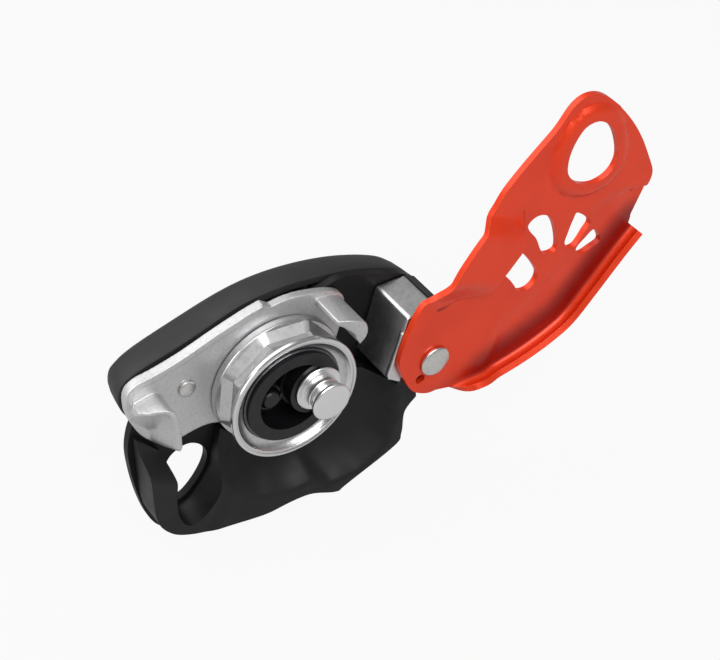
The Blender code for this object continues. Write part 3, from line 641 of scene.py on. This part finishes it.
TAB_LINE = flowing([
    (-52.4, 12.3), (-50.0, 12.7), (-47.4, 13.2), (-45.2, 12.8), (-43.7, 10.9), (-43.0, 7.0), (-42.8, 3.0),
    (-43.0, -2.0),
], 14, closed=False)
TAB_CREST = [(-52.4, 7.2), (-50.0, 9.2), (-47.4, 10.5), (-45.2, 11.4), (-43.6, 12.0)]
TAB_BAND = 1.3       # half width of the crest
TAB_SIDE = 2.3       # slope of the side below the crest


def tab_top(x, z):
    """Height of the S-shaped tab: a narrow crest, a steep hollow side and a broad sloping face."""
    nearest = min(TAB_LINE, key=lambda p: math.hypot(x - p[0], z - p[1]))
    off_line = math.hypot(x - nearest[0], z - nearest[1])
    crest = lookup(TAB_CREST, nearest[0])
    side = crest - TAB_SIDE * max(off_line - TAB_BAND, 0.0)
    past_crease = max(0.965 * (x + 49.4) + 0.262 * (z - 11.1), 0.0)
    face = 7.3 + 0.92 * (x + 52.2) + 0.68 * (z - 12.4) - 1.15 * past_crease
    return max(min(face, crest), side, CAM_FRONT - 0.6)


RIM_OUTLINE = (
    flowing([
        (-53.6, 6.6), (-54.45, 11.5), (-53.75, 16.65), (-50.6, 19.05), (-44.7, 19.85), (-36.0, 21.65),
        (-26.0, 24.65), (-16.0, 27.25), (-10.5, 28.2),
    ], 8, closed=False)
    + flowing([
        (-12.4, 25.4), (-17.0, 24.6), (-26.4, 22.2), (-36.4, 19.3), (-44.6, 17.6), (-47.6, 17.2),
        (-50.6, 16.6), (-52.0, 15.2), (-52.5, 13.2), (-52.3, 10.0),
    ], 8, closed=False)
)
rim = prism("cam_rim_tool", RIM_OUTLINE, TOOL_BACK, CAM_FRONT + RIM_RISE, SATIN_CAM)
TAB_OUTLINE = TAB_LINE + flowing([
    (-43.4, -4.6), (-44.0, -8.0), (-45.6, -7.0), (-48.6, -2.6), (-50.8, 1.6), (-52.6, 6.6), (-53.2, 10.4),
], 8, closed=False)
tab = relief("cam_tab_tool", TAB_OUTLINE, [], TOOL_BACK, tab_top, SATIN_CAM, 0.6)
NOSE_OUTLINE = (
    flowing([
        (6.5, 22.2), (10.4, 21.6), (14.0, 19.9), (15.3, 17.4), (15.1, 13.6), (13.8, 10.2),
    ], 8, closed=False)
    + arc(WHEEL, 23.9, 27, 31, 2)
    + arc(WHEEL, 24.6, 36, 54, 16)
)


def nose_top(x, z):
    """Height of the nose, which rises a little towards its tip."""
    return 14.2 + 2.0 * soft(x + 0.6 * z, 18.0, 25.0)


nose = relief("cam_nose_tool", NOSE_OUTLINE, [], TOOL_BACK, nose_top, SATIN_CAM, 0.9)
bore = prism("cam_bore_tool", circle(AXLE, BORE_R), -1.0, 5.0, SATIN_CAM)
merged(cam, [(tab, "UNION"), (rim, "UNION"), (nose, "UNION"), (bore, "DIFFERENCE")], 0.25, 3)
stands_for(cam, "cam", "cam_plate")
CAM_RIVET_PROFILE = [
    (0, 0.5), (1.3, 0.5), (1.3, 2.9), (2.6, 2.9), (2.65, 3.1), (2.6, 3.4), (2.3, 3.65), (1.6, 3.8),
    (0, 3.85),
]
rivet = turned("cam_plate_rivet_skin", CAM_RIVET_PROFILE, CAM_RIVET, RIVET_STEEL, 64)
stands_for(rivet, "cam", "cam_plate_rivet")


# Hub drum

DRUM_R = 15.0
DRUM_FRONT = 14.4
WALL_HOLE_R = 11.2
WALL_BACK = 4.2
WEB_BACK = 4.6
BOSS_R = 9.7
COLLAR_BACK = 13.7
COLLAR_ROOM_R = 7.5
drum = prism("hub_drum_skin", circle(WHEEL, DRUM_R - 0.3, 160), 3.1, 5.5, BLACK_HUB)
wall_hole = circle(WHEEL, WALL_HOLE_R, 128)
wall = prism("drum_wall_tool", circle(WHEEL, DRUM_R, 160), WALL_BACK, DRUM_FRONT, BLACK_HUB, [wall_hole])
WEB_OUTLINE = arc(AXLE, 9.0, 105, 255, 40) + arc(WHEEL, 12.6, -44, 44, 24)
web = prism("drum_web_tool", WEB_OUTLINE, WEB_BACK, COLLAR_BACK - 0.2, BLACK_HUB)
boss = prism("drum_boss_tool", circle(AXLE, BOSS_R), WEB_BACK, 9.0, BLACK_HUB)
bore = prism("drum_bore_tool", circle(AXLE, BORE_R), 2.0, 16.0, BLACK_HUB)
recess = prism("drum_recess_tool", circle(AXLE, COLLAR_ROOM_R), COLLAR_BACK - 0.25, 16.0, BLACK_HUB)
drum_tools = [(part, "UNION") for part in (wall, boss, web)]
drum_tools += [(part, "DIFFERENCE") for part in (bore, recess)]
merged(drum, drum_tools, 0, 0)
drum.data.shade_smooth()
drum.data.set_sharp_from_angle(angle=math.radians(35))
stands_for(rounded(drum, 0.3), "cam", "hub_drum")


# Rope wheel

FACETS = 8
FACET_FLAT = 17.0          # wheel centre to the middle of a flat
FACET_START = 61.875       # angle of one corner between flats
FACET_STEP = 0.5           # rise of the small step from one flat to the next
FACET_LIMIT = 20.5
GROOVE_FRONT = 13.6        # the groove's finish ends here
WHEEL_PROFILE = [
    (15.9, 3.4), (16.1, 3.1), (20.3, 3.1), (20.6, 3.25), (20.7, 3.6), (20.7, 5.3), (20.6, 5.6),
    (20.5, 5.75), (19.3, 5.85), (FACET_FLAT, 8.2), (FACET_FLAT, 10.2), (17.5, 10.9), (19.8, 13.0),
    (20.35, 13.4), (20.5, 13.7), (20.5, 14.6), (20.4, 14.85), (20.1, 15.0), (19.5, 15.0), (19.4, 14.6),
    (19.1, 14.6), (19.0, 14.75), (18.7, 14.7), (18.45, 14.3), (18.1, 13.75), (17.65, 13.25), (17.1, 12.85),
    (16.5, 12.6), (15.95, 12.5),
]
FACETED = (8, 9, 10, 11)   # the profile points from (19.3, 5.85) to (17.5, 10.9), which carry the flats


def wheel_radius(k, r, a):
    """Radius of profile point k at the angle a: flats with a small step between them in the groove."""
    if k not in FACETED:
        return r
    span = 360.0 / FACETS
    off_corner = (math.degrees(a) - FACET_START) % span
    flat = r / math.cos(math.radians(off_corner - span / 2))
    return min(flat + FACET_STEP * (off_corner / span - 0.5), FACET_LIMIT)


wheel = turned("rope_wheel_skin", WHEEL_PROFILE, WHEEL, WHEEL_FACE, 192, wheel_radius, 14)
wheel.data.materials.append(WHEEL_GROOVE)
for face in wheel.data.polygons:
    height = HEAD_FRONT - face.center.y / MM
    if height < GROOVE_FRONT:
        face.material_index = 1
stands_for(wheel, "wheel", "rope_wheel")


# Cam axle

AXLE_PROFILE = [
    (0, -18.4), (3.6, -18.4), (4.0, -18.0), (4.0, COLLAR_BACK), (7.2, COLLAR_BACK), (7.3, 13.8),
    (7.3, 14.25), (7.05, 14.5), (5.6, 14.5), (5.3, 14.7), (5.3, 17.2), (5.1, 17.5), (GROOVE_R + 0.2, 17.5),
    (GROOVE_R, 17.8), (GROOVE_R, 19.8), (GROOVE_R + 0.2, 20.1), (5.8, 20.1), (6.0, 20.2), (HEAD_R, 20.4),
    (HEAD_R, 20.9), (5.95, 21.15), (5.6, 21.35), (5.2, HEAD_FRONT), (0, HEAD_FRONT),
]
axle = turned("cam_axle_skin", AXLE_PROFILE, AXLE, PIN_STEEL, 128)
stands_for(axle, "frame", "cam_axle")


# Friction block

BLOCK_BACK = 0.3
CORE_FRONT = 17.0
FOOT_BACK = 16.2
HINGE_HOLE_R = 3.2
CORE_OUTLINE = [
    (30.5, 12.2), (38.7, 12.2), (38.9, 14.3), (42.0, 12.6), (44.4, 7.0), (45.6, 0.0), (45.0, -6.0),
    (42.0, -11.0), (38.0, -13.2), (33.0, -14.0), (28.4, -12.4), (25.6, -9.4), (24.2, -6.4), (27.8, 4.8),
]
WEAR_OUTLINE = [
    (38.4, 14.6), (29.2, 14.9), (28.4, 14.6), (28.0, 13.6), (25.5, 5.2), (21.6, -5.6), (23.7, -6.5),
    (27.4, 4.6), (30.2, 12.5), (38.4, 12.5),
]
FOOT_OUTLINE = [
    (26.4, 9.8), (21.5, -4.2), (21.9, -5.6), (25.8, -8.6), (28.4, -2.4), (30.0, 7.0), (29.4, 9.2),
]
hinge_hole = circle(HINGE, HINGE_HOLE_R)
core = prism("friction_block_skin", CORE_OUTLINE, BLOCK_BACK, CORE_FRONT, BLACK_NYLON, [hinge_hole])
foot_room = prism("foot_room_tool", grown(FOOT_OUTLINE, 0.3), FOOT_BACK - 0.3, 18.5, BLACK_NYLON)
merged(core, [(foot_room, "DIFFERENCE")], 0, 0)
core.data.shade_smooth()
core.data.set_sharp_from_angle(angle=math.radians(35))
stands_for(rounded(core, 0.5), "frame", "friction_block")
wear = prism("friction_plate_skin", WEAR_OUTLINE, BLOCK_BACK, CORE_FRONT + 0.2, WEAR_STEEL)
foot = prism("friction_foot_tool", FOOT_OUTLINE, FOOT_BACK, CORE_FRONT + 0.4, WEAR_STEEL)
merged(wear, [(foot, "UNION")], 0.3, 3)
stands_for(wear, "frame", "friction_plate")
HINGE_PROFILE = [
    (0, -3.15), (4.2, -3.15), (4.5, -2.95), (4.5, -2.65), (2.9, -2.65), (2.9, 20.0), (4.75, 20.0),
    (4.85, 20.1), (4.85, 20.75), (4.7, 20.95), (4.4, 21.1), (3.6, 21.4), (2.4, 21.65), (1.2, 21.78),
    (0, 21.8),
]
hinge = turned("side_plate_rivet_skin", HINGE_PROFILE, HINGE, RIVET_STEEL, 96)
stands_for(hinge, "frame", "side_plate_rivet")


# Moving side plate

SLOT_HALF = 4.1      # half width of the slot that takes the axle's groove
SLIT = 0.34          # half width of the fine slits
shut_angle = math.degrees(math.atan2(AXLE[1] - HINGE[1], AXLE[0] - HINGE[0]) - CLOSE_ANGLE)
FREE_EDGE = 48.0
SLIT_OUTER = [(27.2, 30.0), (28.3, 32.2), (29.0, 36.0), (29.9, 42.4)]
SLIT_INNER = [(21.2, 23.8), (19.9, 22.0), (17.7, 19.7), (15.0, 18.9), (8.1, 19.5), (2.0, 18.8)]
STRIP_AREA = SLIT_INNER[::-1] + SLIT_OUTER + [(34.0, 66.0), (10.0, 62.0), (-10.0, 28.0), (-6.0, 17.0)]
LIP_BEND = flowing([
    (4.4, -12.6), (11.4, -12.4), (20.8, -12.7), (27.8, -11.8), (34.7, -10.3), (41.7, -8.0), (48.0, -4.8),
    (55.0, 2.0), (61.9, 9.2), (67.2, 14.6), (71.9, 19.0),
], 8, closed=False)
LIP_BEND_R = 3.0
LIP_TURN = math.radians(135)
SIDE_OUTLINE = (
    [(72.3, 20.8)]
    + flowing([
        (72.4, 22.2), (74.6, 27.0), (77.4, 33.2), (77.9, 37.0), (75.8, 42.5), (71.9, 51.0), (67.0, 59.0),
        (60.6, 67.0), (55.0, 72.0), (49.6, 73.6), (44.8, 71.9), (39.6, 66.0), (33.5, 61.0), (27.8, 56.2),
        (22.8, 51.4), (18.6, 45.6), (13.3, 41.0), (9.2, 36.4), (5.6, 31.8), (2.4, 26.4), (-0.6, 23.4),
        (-4.2, 22.4), (-7.4, 17.4), (-10.6, 10.6), (-12.2, 4.0), (-10.2, -3.2), (-7.2, -9.0), (-2.6, -12.2),
        (1.0, -12.8),
    ], 6, closed=False)
)
WINDOW_2 = flowing([
    (37.8, 37.2), (34.4, 37.9), (31.8, 36.2), (32.4, 33.8), (35.2, 29.6), (37.6, 23.8), (40.4, 21.8),
    (43.2, 22.6), (42.6, 28.4), (40.6, 34.0),
], 8)
WINDOW_3 = flowing([
    (50.2, 32.8), (48.6, 31.0), (47.0, 26.6), (46.2, 23.2), (48.2, 20.4), (51.0, 20.2), (53.8, 23.8),
    (55.6, 27.2),
], 8)
WINDOW_4 = flowing([
    (57.9, 22.9), (54.2, 21.4), (51.2, 18.6), (53.4, 15.4), (57.4, 15.8), (61.0, 17.4),
], 8)
SIDE_EYE = flowing([
    (43.1, 53.6), (44.4, 59.2), (48.2, 64.2), (53.4, 64.6), (58.2, 60.6), (61.0, 54.0), (61.6, 48.2),
    (58.9, 44.2), (53.6, 43.0), (47.9, 45.2), (44.0, 49.4),
], 8)
EYE_RISE = 1.6       # collar pressed up round the eye
TROUGH_START = [
    (62.0, 34.0), (57.5, 32.3), (54.7, 27.8), (52.6, 22.9), (48.7, 19.2), (43.3, 14.4), (36.0, 9.2),
    (29.9, 5.6), (23.0, 3.4), (17.0, 2.4), (11.9, -0.5), (7.5, -3.6), (6.0, -9.0),
]
TROUGH_AREA = TROUGH_START + LIP_BEND + [(90.0, 30.0)]
TROUGH_DEPTH = 1.1
RIVET_HOLE = circle((0, 0), 3.1, 40)
PIN_HOLE = circle((-4.7, -5.4), 1.6, 32)
SIDE_GRID = 1.25
LIP_GRID = 0.7


def lip_width(i):
    """Developed width of the rolled lip at a bend point: it fades in beside the rivet."""
    return LIP_BEND_R * LIP_TURN * (0.14 + 0.86 * soft(LIP_BEND[i][0], 3.0, 15.0))


def bend_normal(i):
    """Direction from the sheet into the lip at a bend point."""
    a = LIP_BEND[max(i - 1, 0)]
    b = LIP_BEND[min(i + 1, len(LIP_BEND) - 1)]
    size = math.hypot(b[0] - a[0], b[1] - a[1])
    return ((b[1] - a[1]) / size, (a[0] - b[0]) / size)


def ramp(value, start, end):
    """A straight ramp with short fillets at both ends."""
    t = (value - start) / (end - start)
    return 0.55 * min(max(t, 0.0), 1.0) + 0.45 * soft(value, start, end)


def side_height(x, z):
    """Height of the sheet's middle surface inside the bend."""
    r = math.hypot(x, z)
    h = SIDE_MID
    if inside((x, z), STRIP_AREA):
        along = ramp(r, 20.5, 29.0) * (1 - ramp(r, 43.8, 48.6))
        h += STRIP_RISE * along * soft(x, -3.5, 3.5)
    if inside((x, z), TROUGH_AREA):
        from_start = distance((x, z), TROUGH_START, closed=False)
        h -= TROUGH_DEPTH * soft(from_start, -6.0, 14.0) * soft(r, 21.0, 26.0)
    h += EYE_RISE * (1 - soft(distance((x, z), SIDE_EYE), 3.0, 4.8))
    return h


def side_painted_shade(p, lip_depth):
    """Painted shade: 1 along the foot of the lip, fading to 0 on the flat and quickly up the lip."""
    along = soft(math.hypot(*p), 6.0, 24.0)
    if p in lip_depth:
        return along * soft(lip_depth[p], 4.0, 0.3)
    return along * soft(distance(p, LIP_BEND, closed=False), 14.0, 1.5)


def slit_sides(line):
    """The two sides of a slit that ends in a point."""
    left = []
    right = []
    for i in range(len(line) - 1):
        a = line[max(i - 1, 0)]
        b = line[i + 1]
        size = math.hypot(b[0] - a[0], b[1] - a[1])
        nx = -(b[1] - a[1]) / size * SLIT
        nz = (b[0] - a[0]) / size * SLIT
        left.append((line[i][0] + nx, line[i][1] + nz))
        right.append((line[i][0] - nx, line[i][1] - nz))
    return left, right


outer_left, outer_right = slit_sides(SLIT_OUTER)
inner_left, inner_right = slit_sides(SLIT_INNER)
slot_end = arc((0, 0), HINGE_TO_AXLE, shut_angle, shut_angle, 1)[0]
WINDOW_1 = (
    outer_left
    + [SLIT_OUTER[-1]]
    + outer_right[::-1]
    + arc((0, 0), HINGE_TO_AXLE + SLOT_HALF, FREE_EDGE - 3, shut_angle + 2, 16)
    + arc(slot_end, SLOT_HALF, shut_angle, shut_angle - 180, 20)
    + arc((0, 0), HINGE_TO_AXLE - SLOT_HALF, shut_angle + 2, FREE_EDGE - 3, 14)
    + inner_left
    + [SLIT_INNER[-1]]
    + inner_right[::-1]
)


def side_plate():
    """The sheet as a middle surface, laid out flat, formed, and thickened to both sides."""
    rows = []
    lifted = {}
    lip_depth = {}
    for i, (bx, bz) in enumerate(LIP_BEND):
        width = lip_width(i)
        steps = max(1, round(width / LIP_GRID))
        nx, nz = bend_normal(i)
        h = side_height(bx - nx * 0.01, bz - nz * 0.01)
        row = []
        for k in range(steps + 1):
            d = width * k / steps
            p = (bx + nx * d, bz + nz * d)
            turn = d / LIP_BEND_R
            out = LIP_BEND_R * math.sin(turn)
            lifted[p] = (bx + nx * out, bz + nz * out, h + LIP_BEND_R * (1 - math.cos(turn)))
            lip_depth[p] = d
            row.append(p)
        rows.append(row)
    lip_edge = [row[-1] for row in rows] + rows[-1][-2:0:-1]
    outline = lip_edge + [rows[-1][0]] + SIDE_OUTLINE
    holes = [WINDOW_1, WINDOW_2, WINDOW_3, WINDOW_4, SIDE_EYE, RIVET_HOLE, PIN_HOLE]
    extra = [p for row in rows[:-1] for p in row[:-1]]
    extra += grid_points([LIP_BEND + SIDE_OUTLINE] + holes, SIDE_GRID)
    loops = [outline] + holes
    flat, triangles = triangulate(loops, extra)
    middle = [Vector(lifted.get(p) or (p[0], p[1], side_height(*p))) for p in flat]
    normals = [Vector((0, 0, 0)) for _ in flat]
    for t in triangles:
        a, b, c = (middle[v] for v in t)
        face = (b - a).cross(c - a)
        face = face if area([flat[v] for v in t]) > 0 else -face
        for v in t:
            normals[v] += face
    points = []
    for sign in (1, -1):
        for m, n in zip(middle, normals):
            p = m + n.normalized() * (sign * SIDE_T / 2)
            points.append((p.x + HINGE[0], p.y + HINGE[1], p.z))
    count = len(flat)
    faces = [tuple(t) for t in triangles]
    faces += [tuple(v + count for v in reversed(t)) for t in triangles]
    start = 0
    for loop in loops:
        n = len(loop)
        for i in range(n):
            a, b = start + i, start + (i + 1) % n
            faces.append((a, b, b + count, a + count))
        start += n
    item = solid("side_plate_skin", points, faces, ORANGE_PAINT, 40)
    # the recess attribute carries the painted shade along the foot of the lip
    recess = item.data.attributes.new("recess", "FLOAT", "POINT")
    recess.data.foreach_set("value", [side_painted_shade(p, lip_depth) for p in flat] * 2)
    return item


stands_for(rounded(side_plate(), 0.28), "side_plate", "moving_side_plate")


# Handle

HANDLE_OUTLINE = flowing([
    (-53.0, 4.6), (-53.6, 9.6), (-51.6, 14.4), (-45.0, 17.4), (-36.6, 19.2), (-27.0, 21.6), (-17.8, 24.4),
    (-9.0, 25.8), (1.0, 25.6), (9.4, 24.4), (18.0, 22.6), (26.6, 20.0), (35.4, 16.0), (41.4, 11.8),
    (45.6, 6.0), (47.0, -0.6), (44.4, -7.6), (37.0, -12.4), (26.0, -15.6), (12.0, -17.6), (-2.0, -17.4),
    (-16.0, -14.6), (-30.0, -9.8), (-42.0, -4.6), (-49.6, -0.6),
], 2)
handle_layers = [
    (inset(HANDLE_OUTLINE, 4.6), -15.0),
    (inset(HANDLE_OUTLINE, 2.2), HANDLE_FRONT),
    (grown(HANDLE_OUTLINE, -0.5), HANDLE_FRONT),
    (grown(HANDLE_OUTLINE, -0.15), HANDLE_FRONT - 0.15),
    (HANDLE_OUTLINE, HANDLE_FRONT - 0.5),
    (grown(HANDLE_OUTLINE, -0.3), -7.0),
    (grown(HANDLE_OUTLINE, -0.8), -10.4),
    (grown(HANDLE_OUTLINE, -1.5), -13.0),
    (inset(HANDLE_OUTLINE, 2.4), -14.9),
    (inset(HANDLE_OUTLINE, 3.4), -16.2),
    (inset(HANDLE_OUTLINE, 4.6), -17.1),
    (inset(HANDLE_OUTLINE, 5.6), HANDLE_BACK),
]
handle_layers = [(flowing(loop, 5), h) for loop, h in handle_layers]
handle = stacked("handle_shell_skin", handle_layers, [], BLACK_NYLON, 50)
boss = prism("handle_boss_tool", circle(AXLE, 9.2), -15.8, -3.7, BLACK_NYLON)
bore = prism("handle_bore_tool", circle(AXLE, BORE_R), -19.0, -3.0, BLACK_NYLON)
handle_tools = [(boss, "UNION"), (bore, "DIFFERENCE")]
RIBS = ((-30.0, 20.8), (-12.0, 25.4), (8.0, 24.5), (24.5, 20.7), (36.0, 15.7))
RIB_HALF = 0.7
for k, (x, z) in enumerate(RIBS):
    left, right = x - RIB_HALF, x + RIB_HALF
    outline = [(left, z - 8.0), (right, z - 8.0), (right, z - 2.0), (left, z - 2.0)]
    rib = prism(f"handle_rib_tool_{k + 1}", outline, -12.0, -5.2, BLACK_NYLON)
    handle_tools.append((rib, "UNION"))
merged(handle, handle_tools, 0, 0)
handle.data.shade_smooth()
handle.data.set_sharp_from_angle(angle=math.radians(50))
stands_for(handle, "handle", "handle_shell")


# Hidden and plain CAD nodes keep their shape and take these finishes

FINISHES = {
    "guide_rivet_1": RIVET_STEEL, "guide_rivet_2": RIVET_STEEL, "guide_rivet_3": RIVET_STEEL,
    "block_rivet_1": RIVET_STEEL, "block_rivet_2": RIVET_STEEL, "axle_rear_washer": RIVET_STEEL,
    "axle_rear_cap": DARK_STEEL, "side_plate_washer": RIVET_STEEL, "cam_bush": DARK_STEEL,
    "spring_post": BLACK_HUB, "cam_return_spring": BLACK_HUB, "wheel_sleeve": DARK_STEEL,
    "handle_bush": DARK_STEEL, "handle_core_plate": CORE_STEEL, "handle_spring": CORE_STEEL,
    "handle_drive_pin": RIVET_STEEL,
}
for node, finish in FINISHES.items():
    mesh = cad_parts[node].data
    mesh.materials.clear()
    mesh.materials.append(finish)


# Stage, light and camera

BACKDROP = (1.0, 1.0, 1.0)
FLOOR_SEEN = 0.93          # share of plain backdrop colour that the camera sees on the floor
FLOOR_MIRRORED = 0.4       # the same for mirror images of the floor in the metal
SKY_LIGHT = 0.24
SKY_SEEN = 0.95
CAMERA_AT = (-0.1818, -0.2908, 0.3341)
CAMERA_RIGHT = Vector((0.8358, -0.5490, 0.0))
CAMERA_UP = Vector((0.3659, 0.5571, 0.7455))
CAMERA_BACK = Vector((-0.4093, -0.6231, 0.6665))


def stage_floor():
    """A pale floor that the camera sees almost as white as the backdrop."""
    mesh = bpy.data.meshes.new("floor")
    size = 4.0
    z = cad_low.z - 0.001
    corners = [(-size, -size, z), (size, -size, z), (size, size, z), (-size, size, z)]
    mesh.from_pydata(corners, [], [(0, 1, 2, 3)])
    look = Look("floor_look", (0.3, 0.3, 0.3), 0.0, 0.8)
    look.rough(look.noise(20, 3), 0.05)
    glow = look.node("ShaderNodeEmission", Strength=1.0)
    glow.inputs["Color"].default_value = (*BACKDROP, 1.0)
    seen = look.node("ShaderNodeMixShader")
    ray = look.node("ShaderNodeLightPath")
    mirrored = look.math("MULTIPLY", ray.outputs["Is Glossy Ray"], FLOOR_MIRRORED)
    share = look.math("MULTIPLY_ADD", ray.outputs["Is Camera Ray"], FLOOR_SEEN, mirrored)
    look.link(share, seen.inputs[0])
    look.link(look.shader.outputs[0], seen.inputs[1])
    look.link(glow.outputs[0], seen.inputs[2])
    look.link(seen.outputs[0], look.tree.nodes["Material Output"].inputs["Surface"])
    mesh.materials.append(look.mat)
    item = bpy.data.objects.new("floor", mesh)
    bpy.context.scene.collection.objects.link(item)


def soft_light(name, right, up, back, distance_m, size, power):
    """An area light placed in the camera's directions and aimed at the object."""
    target = (cad_low + cad_high) / 2
    way = (CAMERA_RIGHT * right + CAMERA_UP * up + CAMERA_BACK * back).normalized()
    data = bpy.data.lights.new(name, "AREA")
    data.shape = "RECTANGLE"
    data.size, data.size_y = size
    data.energy = power
    item = bpy.data.objects.new(name, data)
    item.location = target + way * distance_m
    item.rotation_mode = "QUATERNION"
    item.rotation_quaternion = way.to_track_quat("Z", "Y")
    bpy.context.scene.collection.objects.link(item)


def studio_world():
    """White behind the floor as the camera sees it, and a weak even light for everything else."""
    world = bpy.data.worlds.new("studio")
    world.use_nodes = True
    tree = world.node_tree
    sky = tree.nodes["Background"]
    sky.inputs["Color"].default_value = (*BACKDROP, 1.0)
    ray = tree.nodes.new("ShaderNodeLightPath")
    strength = tree.nodes.new("ShaderNodeMapRange")
    strength.inputs["To Min"].default_value = SKY_LIGHT
    strength.inputs["To Max"].default_value = SKY_SEEN
    tree.links.new(ray.outputs["Is Camera Ray"], strength.inputs["Value"])
    tree.links.new(strength.outputs["Result"], sky.inputs["Strength"])
    bpy.context.scene.world = world


stage_floor()
soft_light("key", -0.6, 1.0, 0.3, 0.8, (0.9, 0.7), 3.6)
soft_light("front", 0.35, 0.2, 1.0, 0.9, (0.7, 0.6), 6.6)
soft_light("left", -1.0, 0.1, 0.7, 0.9, (0.4, 0.6), 3.4)
studio_world()
bpy.context.scene.view_settings.view_transform = "Standard"

camera = bpy.data.objects.new("camera", bpy.data.cameras.new("camera"))
bpy.context.scene.collection.objects.link(camera)
axes = Matrix((CAMERA_RIGHT, CAMERA_UP, CAMERA_BACK)).transposed()
camera.matrix_world = Matrix.Translation(CAMERA_AT) @ axes.to_4x4()
camera.data.lens = 85
camera.data.sensor_width = 36
camera.data.clip_start = 0.01
bpy.context.scene.camera = camera
